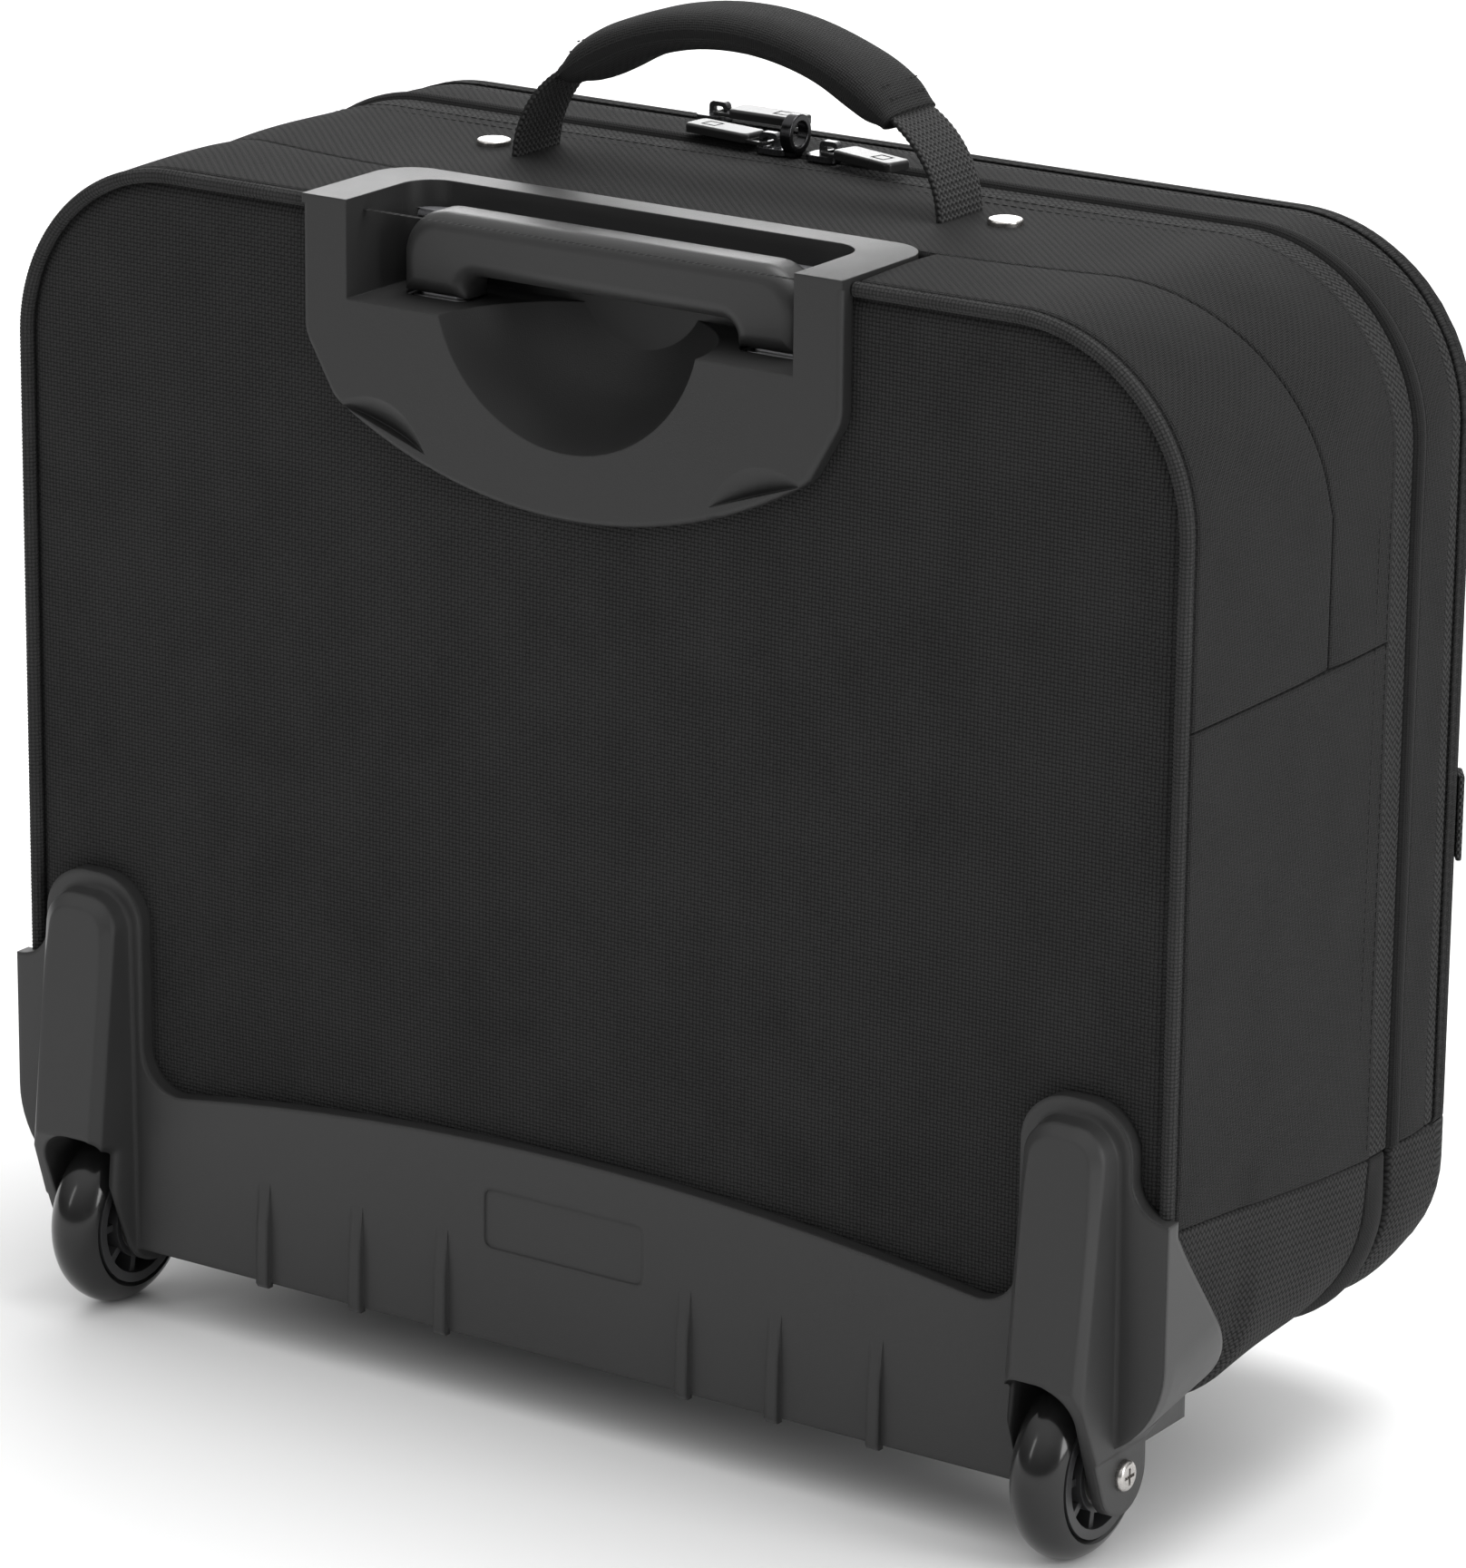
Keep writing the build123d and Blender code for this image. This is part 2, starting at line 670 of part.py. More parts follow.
with BuildPart() as release_button:
    add(
        block(
            (-button_half, tube_y - 5, grip_high - grip_bar + 0.6),
            (button_half, tube_y + 5, grip_high - grip_bar + 5.4),
        )
    )
    fillet(release_button.edges().filter_by(Axis.Z), 3)
save(release_button.part, "release_button")

rod_low = base_z + 40
rod_high = grip_high - 6.0
with BuildPart() as release_rods:
    for sign in sides.values():
        with Locations((sign * tube_x, tube_y, (rod_low + rod_high - button_travel) / 2)):
            Cylinder(rod_r, rod_high - button_travel - rod_low)
save(release_rods.part, "release_rods")

with BuildPart() as case_screws:
    add(screws)
save(case_screws.part, "case_screws")

# ---- Kick plate: one moulding with the ribs, wheel arms, forks and side wings ----
arm_x = wheel_x + 2.0
arm_in = arm_x - arm_half
arm_inset = 6.0  # how far the arm's sides draw in between the plate and its rear face
arm_edge = 3.0  # width of the bevel round the rear face of an arm
arm_flat = 3.0  # half of the straight stretch at the top of an arm
arm_slope_top = plate_y + 8.0
arm_slope_low = rear_y - 3.5
arm_join_z = well_top + 1.5
wing_corner_r = 32.0  # the wing's own lower corner, fuller than the body's
wing_depth = 56.0
fork_r = 13.0
boss_r = 6.4
sleeve_head_r = 6.0
arch_mid = 91.0
arch_end = 76.0
arch_corner_r = 14.0
wing_notch_r = 12.0
rib_places = (47.0, 81.0, 118.5)
rib_t = 4.5
rib_stand = 2.3
rib_high = 66.0
arm_lean = degrees(atan2(arm_slope_low - arm_slope_top, arm_top - arm_join_z))


def arm_outline(inset, low):
    """The left wheel arm from behind: straight sides and a rounded top, drawn in by inset."""
    with BuildSketch(mode=Mode.PRIVATE) as flat:
        with Locations((arm_x, (low + arm_top - inset) / 2)):
            Rectangle(2 * (arm_half - inset), arm_top - inset - low)
        fillet(flat.vertices().group_by(Axis.Y)[-1], arm_half - inset - arm_flat)
    return flat.sketch


# Left arm: it leans out over the wheel, and its sides draw in toward the rear. Below, it goes past the
# wheel on both sides, to round ends at the axle.
slope = Plane(
    origin=(0, arm_slope_low + arm_join_z * (arm_slope_low - arm_slope_top) / (arm_top - arm_join_z), 0),
    x_dir=(1, 0, 0),
    z_dir=(0, -cos(radians(arm_lean)), -sin(radians(arm_lean))),
)
with BuildPart(mode=Mode.PRIVATE) as arm:
    with BuildSketch(facing(back_y - 20)):
        add(arm_outline(0, 0))
    with BuildSketch(slope):
        add(arm_outline(arm_inset, 0))
    loft()
    rear_face = arm.faces().sort_by(Axis.Y)[-1]
    chamfer(rear_face.edges().group_by(Axis.Z)[1:], arm_edge)
    with BuildSketch(Plane.YZ):
        with Locations((axle_y, wheel_r)):
            Circle(fork_r)
        with Locations(((axle_y - fork_r + arm_slope_low + 1) / 2, arm_join_z)):
            Rectangle(arm_slope_low + 1 - axle_y + fork_r, 0.4)
        make_hull()
        with Locations((axle_y, arm_join_z + half / 2)):
            Rectangle(2 * fork_r + 2 * plate_stand + big / 10, half)
    extrude(amount=half, mode=Mode.INTERSECT)
    with BuildSketch(Plane.XZ):
        with BuildLine():
            Polyline(
                (0, 0),
                (well_out + fork_t, 0),
                (well_out + fork_t, wheel_r + 8),
                (arm_in + 2 * arm_half + 2, wheel_r + 18),
                (arm_in + 2 * arm_half + 2, body_top),
                (0, body_top),
                close=True,
            )
        make_face()
    extrude(amount=-rear_y, mode=Mode.INTERSECT)
    add(slab(back_y, front_y, 0), mode=Mode.SUBTRACT)

# Room for the left wheel, open downward and to the rear, with rounded upper corners.
with BuildPart(mode=Mode.PRIVATE) as wheel_room:
    with BuildSketch(Plane.YZ.offset(well_in)):
        with Locations((axle_y, wheel_r)):
            Circle(well_r)
        with Locations((axle_y + rear_y / 2, (well_top - 1) / 2)):
            Rectangle(rear_y, well_top + 1)
        with Locations((axle_y - well_r + rear_y / 2, (wheel_r - 1) / 2)):
            Rectangle(rear_y, wheel_r + 1)
    extrude(amount=well_out - well_in)
    with BuildSketch(facing(2 * rear_y)) as room_face:
        with Locations(((well_in + well_out) / 2, well_top / 2 - 1)):
            Rectangle(well_out - well_in, well_top + 2)
        corners = room_face.vertices().group_by(Axis.Y)[-1].sort_by(Axis.X)
        fillet(corners[0], 6)
        fillet(room_face.vertices().group_by(Axis.Y)[-1].sort_by(Axis.X)[-1], 12)
    extrude(amount=2 * rear_y, mode=Mode.INTERSECT)
wheel_rooms = [wheel_room.part, mirror(wheel_room.part, about=Plane.YZ, mode=Mode.PRIVATE)]

# The wing from behind: outside the wheel, below its own top edge.
with BuildSketch(mode=Mode.PRIVATE) as wing_face:
    add(case_outline(-wrap_t, wing_corner_r))
    with Locations((well_out + big / 2, wing_top - big / 2)):
        Rectangle(big, big, mode=Mode.INTERSECT)

with BuildSketch(mode=Mode.PRIVATE) as plate_face:
    with BuildLine():
        Polyline((arm_in + 6, arch_end), (well_in, lip_z), (-well_in, lip_z), (-arm_in - 6, arch_end))
        ThreePointArc((-arm_in - 6, arch_end), (0, arch_mid), (arm_in + 6, arch_end))
    make_face()
    add(arm_outline(0, arm_join_z - 20))
    add(wing_face.sketch)
    mirror(arm_outline(0, arm_join_z - 20), about=Plane.YZ)
    mirror(wing_face.sketch, about=Plane.YZ)
    inner_corners = (
        (wing_top, arm_in + 2 * arm_half, wing_notch_r),
        (arch_end + 1.5, arm_in, arch_corner_r),
    )
    for level, edge_x, radius in inner_corners:
        for sign in sides.values():
            near = plate_face.vertices().filter_by_position(Axis.Y, level - 2, level + 2)
            fillet(near.filter_by_position(Axis.X, sign * edge_x - 1, sign * edge_x + 1), radius)

# The sheet that wraps the sides, the lower corners and the underside.
with BuildPart(mode=Mode.PRIVATE) as wrap:
    with BuildSketch(facing(back_y)):
        add(case_outline(-wrap_t, wing_corner_r))
    with BuildSketch(facing(plate_y - wing_depth)):
        add(case_outline(-wrap_t))
    loft(ruled=True)
    add(slab(back_y + 1, plate_y - wing_depth - 1, 0), mode=Mode.SUBTRACT)
    with BuildSketch(Plane.YZ.offset(-big / 2)):
        with BuildLine():
            Spline(
                (plate_y - 3, wing_top),
                (plate_y - 12, wing_top - 14),
                (plate_y - 33, wing_top - 42),
                (plate_y - 45, wing_top - 63),
                (plate_y - 49, body_bottom - 4),
            )
            Polyline(
                (plate_y - 49, body_bottom - 4),
                (plate_y, body_bottom - 4),
                (plate_y, wing_top),
                (plate_y - 3, wing_top),
            )
        make_face()
    extrude(amount=big, mode=Mode.INTERSECT)

with BuildPart() as kick_plate:
    with BuildSketch(facing(plate_y)):
        add(plate_face.sketch)
    extrude(amount=plate_stand)
    # hollow behind the face, with a boss for each screw
    with BuildSketch(facing(plate_y - plate_wall)):
        with BuildLine():
            Polyline(
                (well_in - 8, arch_end - 6),
                (well_in - 8, lip_z + 8),
                (-well_in + 8, lip_z + 8),
                (-well_in + 8, arch_end - 6),
            )
            ThreePointArc((-well_in + 8, arch_end - 6), (0, arch_mid - 4), (well_in - 8, arch_end - 6))
        make_face()
        for sign in sides.values():
            for x in plate_screw_x:
                with Locations((sign * x, plate_screw_z)):
                    Circle(2 * screw_r, mode=Mode.SUBTRACT)
    extrude(amount=plate_stand, mode=Mode.SUBTRACT)
    add(wrap.part)
    # sloping lip under the rear edge
    with BuildSketch(Plane.YZ.offset(-well_in)):
        with BuildLine():
            Polyline(
                (plate_y, lip_z),
                (plate_y - 5, lip_z),
                (plate_y - 32, body_bottom - wrap_t),
                (plate_y - 32, body_bottom),
                (plate_y - 28, body_bottom),
                (plate_y - 5, lip_z + 4),
                (plate_y, lip_z + 6),
                close=True,
            )
        make_face()
    extrude(amount=2 * well_in)
    # a box round each wheel
    for sign in sides.values():
        low_x = min(sign * (well_in - mould_wall), sign * (well_out + fork_t))
        add(
            block(
                (low_x, axle_y - well_r - mould_wall, body_bottom - wrap_t),
                (low_x + well_out - well_in + mould_wall + fork_t, back_y, well_top + mould_wall),
            )
        )
    add(arm.part)
    mirror(arm.part, about=Plane.YZ)
    add(wheel_rooms, mode=Mode.SUBTRACT)
    for sign in sides.values():
        for x, length in ((well_in, 1), (well_out, -1)):
            with Locations((sign * (x + length * (wheel_gap - 0.4) / 2), axle_y, wheel_r)):
                Cylinder(boss_r, wheel_gap - 0.4, rotation=(0, 90, 0))
        with Locations((sign * wheel_x, axle_y, wheel_r)):
            Cylinder(sleeve_r, 60, rotation=(0, 90, 0), mode=Mode.SUBTRACT)
        with Locations((sign * (arm_in - 10), axle_y, wheel_r)):
            Cylinder(sleeve_head_r + 0.3, 20, rotation=(0, 90, 0), mode=Mode.SUBTRACT)
        # hollow in the arm, open toward the case
        low_x, high_x = sorted((sign * (arm_in + 9), sign * (arm_in + 2 * arm_half - 9)))
        hollow = block((low_x, back_y - 1, well_top + 5), (high_x, arm_slope_top - plate_wall, arm_top - 14))
        add(hollow, mode=Mode.SUBTRACT)
        for x in rib_places:
            with BuildSketch(Plane.YZ.offset(sign * x - rib_t / 2)):
                with BuildLine():
                    Polyline(
                        (plate_y - 1, rib_high),
                        (plate_y - 1, lip_z - 1.5),
                        (plate_y + rib_stand - 1, lip_z - 1.5),
                        (plate_y + rib_stand, lip_z),
                        (plate_y + rib_stand * 0.8, lip_z + 20),
                        close=True,
                    )
                make_face()
            extrude(amount=rib_t)
    # shallow blank panel in the middle of the plate
    with BuildSketch(facing(plate_y + 1)):
        with Locations((0, 65)):
            RectangleRounded(61, 20, 3)
    extrude(amount=1.7, mode=Mode.SUBTRACT)
    add(screws, mode=Mode.SUBTRACT)
save(kick_plate.part, "kick_plate")

# ---- Wheels ----
hub_r = 21.8
rim_r = 18.6
boss_out = 13.2
spoke_count = 9
for side, sign in sides.items():
    x = sign * wheel_x
    axle = Plane(origin=(x, axle_y, wheel_r), x_dir=(0, 1, 0), z_dir=(1, 0, 0))
    with BuildPart() as tyre:
        with BuildSketch(Plane.XY):
            with BuildLine():
                edge = tyre_width / 2
                Polyline((edge - 1.5, hub_r), (-edge + 1.5, hub_r))
                Line((-edge + 1.5, hub_r), (-edge, hub_r + 1.5))
                ThreePointArc((-edge, hub_r + 1.5), (0, wheel_r), (edge, hub_r + 1.5))
                Line((edge, hub_r + 1.5), (edge - 1.5, hub_r))
            make_face()
        revolve(axis=Axis.X)
    save(tyre.part.moved(Location((x, axle_y, wheel_r))), f"tyre_{side}")

    with BuildPart() as hub:
        with BuildSketch(axle.offset(-tyre_width / 2)):
            Circle(hub_r)
            Circle(rim_r, mode=Mode.SUBTRACT)
            Circle(boss_out)
        extrude(amount=tyre_width)
        with BuildSketch(axle.offset(-tyre_width / 2 + 2)):
            with PolarLocations((rim_r + boss_out) / 2, spoke_count):
                Rectangle(rim_r - boss_out + 1.5, 2.4)
        extrude(amount=tyre_width - 4)
        with BuildSketch(axle.offset(-1)):
            Circle(rim_r + 0.5)
            Circle(boss_out - 0.5, mode=Mode.SUBTRACT)
        extrude(amount=2)
        with BuildSketch(axle.offset(-tyre_width / 2)):
            Circle(bearing_r)
        extrude(amount=tyre_width, mode=Mode.SUBTRACT)
        shoulder_t = tyre_width - 2 * bearing_w
        with BuildSketch(axle.offset(-shoulder_t / 2)):
            Circle(bearing_r)
            Circle(bearing_r - 2, mode=Mode.SUBTRACT)
        extrude(amount=shoulder_t)
    save(hub.part, f"hub_{side}")

    with BuildPart() as bearings:
        for start in (-tyre_width / 2, tyre_width / 2 - bearing_w):
            with BuildSketch(axle.offset(start)):
                Circle(bearing_r)
                Circle(sleeve_r + running_gap, mode=Mode.SUBTRACT)
            extrude(amount=bearing_w)
            for face_at in (start - 1, start + bearing_w - 0.6):
                with BuildSketch(axle.offset(face_at)):
                    Circle(bearing_r - 2)
                    Circle(sleeve_r + 2, mode=Mode.SUBTRACT)
                extrude(amount=1.6, mode=Mode.SUBTRACT)
    save(bearings.part, f"bearings_{side}")

    with BuildPart() as spacer:
        with BuildSketch(axle.offset(-shoulder_t / 2)):
            Circle(sleeve_r + 1.8)
            Circle(sleeve_r + running_gap, mode=Mode.SUBTRACT)
        extrude(amount=shoulder_t)
    save(spacer.part, f"bearing_spacer_{side}")

screw_core_r = 2.4
sleeve_start = arm_in
with BuildPart() as axle_sleeves:
    for sign in sides.values():
        with Locations((sign * (sleeve_start + well_out + fork_t) / 2, axle_y, wheel_r)):
            Cylinder(sleeve_r, well_out + fork_t - sleeve_start, rotation=(0, 90, 0))
        with Locations((sign * (sleeve_start - 1), axle_y, wheel_r)):
            Cylinder(sleeve_head_r, 2, rotation=(0, 90, 0))
        with Locations((sign * (well_out + fork_t - 9), axle_y, wheel_r)):
            Cylinder(screw_core_r, 18, rotation=(0, 90, 0), mode=Mode.SUBTRACT)
save(axle_sleeves.part, "axle_sleeves")

head_r = 5.0
head_t = 2.4
with BuildPart() as axle_screws:
    for sign in sides.values():
        outer_x = sign * (well_out + fork_t)
        with Locations((outer_x - sign * 9, axle_y, wheel_r)):
            Cylinder(screw_core_r, 18, rotation=(0, 90, 0))
        with Locations((outer_x + sign * head_t / 2, axle_y, wheel_r)):
            Cylinder(head_r, head_t, rotation=(0, 90, 0))
        rims = axle_screws.faces().sort_by(Axis.X)[-1 if sign > 0 else 0].edges()
        fillet(rims, 1.6)
        with Locations((outer_x + sign * head_t, axle_y, wheel_r)):
            Box(2.4, 5.6, 1.1, mode=Mode.SUBTRACT)
            Box(2.4, 1.1, 5.6, mode=Mode.SUBTRACT)
save(axle_screws.part, "axle_screws")

foot_size = (34.0, 22.0)
with BuildPart() as front_feet:
    for sign in sides.values():
        with BuildSketch(Plane.XY.offset(body_bottom)):
            with Locations((sign * foot_x, foot_screw_y)):
                RectangleRounded(*foot_size, 5)
        with BuildSketch(Plane.XY):
            with Locations((sign * foot_x, foot_screw_y)):
                RectangleRounded(foot_size[0] - 6, foot_size[1] - 4, 4)
        loft()
    add(screws, mode=Mode.SUBTRACT)
save(front_feet.part, "front_feet")

# ---- Carry handle ----
arc_half = 61.0
arc_end_z = body_top + 29.5
crown_z = body_top + handle_rise
strap_foot_z = body_top + 0.5
handle_pivot_z = strap_foot_z + strap_w / 2
with BuildPart() as carry_webbing:
    with BuildSketch(facing(handle_y + strap_w / 2)):
        with BuildLine():
            for sign in sides.values():
                ThreePointArc(
                    (sign * handle_half, strap_foot_z),
                    (sign * (arc_half + 14.5), body_top + 16),
                    (sign * arc_half, arc_end_z),
                )
            ThreePointArc((-arc_half, arc_end_z), (0, crown_z), (arc_half, arc_end_z))
        trace(line_width=strap_t)
    extrude(amount=strap_w)
    with BuildSketch(Plane.YZ.offset(-half)):
        with Locations((handle_y, handle_pivot_z)):
            Circle(strap_w / 2)
        with Locations((handle_y, handle_pivot_z + handle_rise / 2)):
            Rectangle(strap_w, handle_rise)
    extrude(amount=body_width, mode=Mode.INTERSECT)
save(carry_webbing.part, "carry_webbing")

pad_t = 14.0
pad_w = 29.0
with BuildPart() as carry_grip:
    with BuildSketch(facing(handle_y + pad_w / 2)):
        with BuildLine():
            ThreePointArc((-arc_half, arc_end_z), (0, crown_z), (arc_half, arc_end_z))
        trace(line_width=pad_t)
    extrude(amount=pad_w)
    fillet(carry_grip.faces().sort_by(Axis.Y)[-1].outer_wire().edges().filter_by(GeomType.CIRCLE), 5.0)
    fillet(carry_grip.faces().sort_by(Axis.Y)[0].outer_wire().edges().filter_by(GeomType.CIRCLE), 5.0)
    add(carry_webbing.part, mode=Mode.SUBTRACT)
save(carry_grip.part, "carry_grip")

anchor_len = 34.0
with BuildPart() as handle_anchors:
    for sign in sides.values():
        low_x = min(sign * (handle_half - 4), sign * (handle_half - 4 + anchor_len))
        add(
            block(
                (low_x, handle_y - strap_w / 2, body_top - fabric_t - strap_t),
                (low_x + anchor_len, handle_y + strap_w / 2, body_top - fabric_t),
            )
        )
        with Locations((sign * handle_half, handle_y, body_top - fabric_t / 2)):
            Box(strap_t, strap_w, fabric_t)
        with Locations((sign * rivet_x, handle_y, body_top)):
            Cylinder(2.0, 30, mode=Mode.SUBTRACT)
save(handle_anchors.part, "handle_anchors")

rivet_r = 5.6
with BuildPart() as handle_rivets:
    for sign in sides.values():
        low = body_top - fabric_t - strap_t
        with Locations((sign * rivet_x, handle_y, (low + body_top) / 2)):
            Cylinder(2.0, body_top - low)
        with Locations((sign * rivet_x, handle_y, body_top + 1.0)):
            Cylinder(rivet_r, 2.0)
        with Locations((sign * rivet_x, handle_y, low - 0.6)):
            Cylinder(rivet_r - 0.5, 1.2)
    fillet(handle_rivets.faces().group_by(Axis.Z)[-1].edges(), 0.7)
save(handle_rivets.part, "handle_rivets")

# ---- Zip sliders and pullers ----
ride = 0.35
bridge_w = 2.6
hinge_step = 2.0  # puller's hinge, out from the slider's middle


def slider(x, y, sign):
    """Upper wing of a slider, with the bridge that holds its puller at the end that sign points to."""
    low = body_top + ride
    with BuildPart(mode=Mode.PRIVATE) as body:
        with BuildSketch(Plane.XY.offset(low)):
            with Locations((x, y)):
                RectangleRounded(slider_len, slider_w, 2.5)
        extrude(amount=2.0)
        with BuildSketch(facing(y + bridge_w / 2)):
            with Locations((x + sign * 2.0, low + 3.2)):
                RectangleRounded(7.0, 6.4, 1.8)
            with Locations((x + sign * 2.0, low + 3.4)):
                RectangleRounded(4.2, 2.9, 1.0, mode=Mode.SUBTRACT)
        extrude(amount=bridge_w)
    return body.part


def puller(x, y, sign, yaw):
    """Puller tab that lies beside the slider, with a loop round the slider's bridge."""
    low = body_top + ride + 2.4
    with BuildPart(mode=Mode.PRIVATE) as tab:
        with BuildSketch(Plane.XY.offset(low)):
            with Locations((sign * (6.0 + puller_len / 2), 0)):
                RectangleRounded(puller_len, 10.5, 2.2)
        extrude(amount=3.0)
        fillet(tab.faces().sort_by(Axis.Z)[-1].edges(), 1.0)
        with BuildSketch(Plane.XY.offset(low + 0.1)):
            with Locations((sign * 3.8, 0)):
                RectangleRounded(9.0, 9.4, 2.0)
            with Locations((sign * 3.2, 0)):
                RectangleRounded(5.0, 6.4, 0.8, mode=Mode.SUBTRACT)
        extrude(amount=1.1)
        with BuildSketch(Plane.XY.offset(low + 3.0)):
            with Locations((sign * (puller_len * 0.92), 0)):
                Rectangle(6.0, 5.0)
                Rectangle(4.6, 3.6, mode=Mode.SUBTRACT)
        extrude(amount=-0.5, mode=Mode.SUBTRACT)
    return tab.part.rotate(Axis.Z, yaw).moved(Location((x, y, 0)))


slider_step = 9.5
for side, sign in sides.items():
    x = slider_meet_x + sign * slider_step
    save(slider(x, zip_y, sign), f"main_slider_{side}")
puller_yaw = {"left": -8.0, "right": -16.0}
for side, sign in sides.items():
    x = slider_meet_x + sign * slider_step
    save(puller(x + sign * hinge_step, zip_y, sign, puller_yaw[side]), f"main_puller_{side}")

ring_r = 6.5
ring_t = 4.0
with BuildPart() as lock_ring:
    with BuildSketch(Plane.YZ.offset(slider_meet_x + slider_step - slider_len / 2 - ring_t)):
        with Locations((zip_y, body_top + ride + 0.5 + ring_r)):
            Circle(ring_r)
            Circle(ring_r - 2.4, mode=Mode.SUBTRACT)
        with Locations((zip_y, body_top + ride + 1.0)):
            Rectangle(6, 2)
    extrude(amount=ring_t)
    fillet(lock_ring.edges().filter_by(GeomType.CIRCLE), 0.5)
save(lock_ring.part, "lock_ring")

flap_slider_x = 60.0
save(slider(flap_slider_x, flap_zip_y, -1), "flap_slider")
save(puller(flap_slider_x - hinge_step, flap_zip_y, -1, 0.0), "flap_puller")

tab_z = 198.0
tab_turn = 34.0
tab_place = Location((-half + flap_edge_r, face_y + flap_edge_r, tab_z), (0, 0, tab_turn))
with BuildPart() as side_tab:
    with Locations(tab_place):
        with Locations((-flap_edge_r - 1.0, 0, 0)):
            Box(2.0, 10, 28)
    fillet(side_tab.edges().filter_by(Axis.Z), 0.8)
save(side_tab.part, "side_tab")
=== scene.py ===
import math

import bmesh
import bpy
import numpy as np
from mathutils import Matrix, Vector


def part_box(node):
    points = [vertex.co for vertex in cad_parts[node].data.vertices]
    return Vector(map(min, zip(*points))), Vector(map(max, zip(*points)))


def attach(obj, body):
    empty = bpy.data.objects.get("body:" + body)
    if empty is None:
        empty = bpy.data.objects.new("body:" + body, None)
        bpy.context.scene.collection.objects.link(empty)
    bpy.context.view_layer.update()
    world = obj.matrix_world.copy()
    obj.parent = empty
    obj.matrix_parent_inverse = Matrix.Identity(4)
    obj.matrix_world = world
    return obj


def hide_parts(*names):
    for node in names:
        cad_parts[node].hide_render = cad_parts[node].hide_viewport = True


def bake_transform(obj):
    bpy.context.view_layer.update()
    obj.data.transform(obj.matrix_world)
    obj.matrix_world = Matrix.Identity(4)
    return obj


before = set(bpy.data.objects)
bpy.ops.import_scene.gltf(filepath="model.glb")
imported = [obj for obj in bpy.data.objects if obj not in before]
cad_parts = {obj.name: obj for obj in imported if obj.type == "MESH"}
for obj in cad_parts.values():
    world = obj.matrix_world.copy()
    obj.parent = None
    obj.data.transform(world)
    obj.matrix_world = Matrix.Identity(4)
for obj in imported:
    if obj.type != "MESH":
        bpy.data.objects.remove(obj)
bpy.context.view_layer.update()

MM = 0.001
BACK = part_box("back_panel")[1].y  # rear fabric face
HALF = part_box("gusset")[1].x  # half of the body's width
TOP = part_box("gusset")[1].z
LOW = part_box("bottom_panel")[0].z
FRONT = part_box("flap_panel")[0].y  # front fabric face
HINGE_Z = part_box("gusset")[0].z  # lower edge of the upper panels
ZIP = (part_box("main_zip_case")[0].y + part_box("main_zip_front")[1].y) / 2
FLAP_ZIP = (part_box("flap_zip_section")[0].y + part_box("flap_zip_flap")[1].y) / 2
CASE_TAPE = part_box("main_zip_case")[1].y
TOP_R = 62 * MM  # upper corners of the body's outline
LOW_R = 45 * MM
EDGE_R = 19 * MM  # rounding of the front panel's edge

CAMERA_PLACE = (-1.2150, 1.8178, 0.8791)
CAMERA_TURN = (213.63, 17.41, 0.597)  # azimuth, elevation and roll, in degrees
CAMERA_LENS = 164.0  # mm, on a sensor 36 mm wide


# ---- Camera, floor and light ----
def add_camera():
    azimuth, elevation, roll = (math.radians(a) for a in CAMERA_TURN)
    back = Vector(
        (
            math.sin(azimuth) * math.cos(elevation),
            -math.cos(azimuth) * math.cos(elevation),
            math.sin(elevation),
        )
    )
    right = (-back).cross(Vector((0, 0, 1))).normalized()
    up = right.cross(-back)
    x_axis = right * math.cos(roll) + up * math.sin(roll)
    y_axis = up * math.cos(roll) - right * math.sin(roll)
    data = bpy.data.cameras.new("camera")
    data.sensor_width = 36
    data.lens = CAMERA_LENS
    data.clip_end = 50
    camera = bpy.data.objects.new("camera", data)
    bpy.context.scene.collection.objects.link(camera)
    turn = Matrix((x_axis, y_axis, back)).transposed().to_4x4()
    camera.matrix_world = Matrix.Translation(CAMERA_PLACE) @ turn
    bpy.context.scene.camera = camera


def add_light(name, place, aim, size, power):
    data = bpy.data.lights.new(name, "AREA")
    data.shape = "RECTANGLE"
    data.size, data.size_y = size
    data.energy = power
    light = bpy.data.objects.new(name, data)
    bpy.context.scene.collection.objects.link(light)
    light.location = place
    light.visible_camera = False
    ahead = Vector(aim) - Vector(place)
    light.rotation_euler = ahead.to_track_quat("-Z", "Y").to_euler()


def add_studio():
    """A white room that is dark near the floor, with four soft lights."""
    world = bpy.data.worlds.new("studio")
    world.use_nodes = True
    nodes, links = world.node_tree.nodes, world.node_tree.links
    split = nodes.new("ShaderNodeSeparateXYZ")
    links.new(nodes.new("ShaderNodeTexCoord").outputs["Generated"], split.inputs[0])
    glow = nodes.new("ShaderNodeMapRange")
    glow.interpolation_type = "SMOOTHSTEP"
    glow.inputs["To Min"].default_value = 0.12
    glow.inputs["To Max"].default_value = 1.3
    links.new(split.outputs["Z"], glow.inputs["Value"])
    links.new(glow.outputs["Result"], nodes["Background"].inputs["Strength"])
    nodes["Background"].inputs["Color"].default_value = (1, 1, 1, 1)
    bpy.context.scene.world = world
    bpy.context.scene.view_settings.view_transform = "Standard"
    middle = (0, 0, 0.2)
    add_light("side_light", (-2.6, 0.1, 0.9), middle, (1.0, 1.4), 33)
    add_light("top_light", (-0.3, -0.6, 2.4), middle, (1.4, 1.4), 34)
    add_light("rear_light", (1.2, 2.6, 1.5), middle, (0.4, 1.2), 6)
    add_light("far_light", (1.35, -2.0, 1.15), (0, 0, 0.39), (1.6, 0.7), 20)
    bpy.ops.mesh.primitive_plane_add(size=60)
    floor = bpy.context.object
    floor.name = "floor"
    floor.data.materials.append(plain("floor", grey(0.86), 0.9))


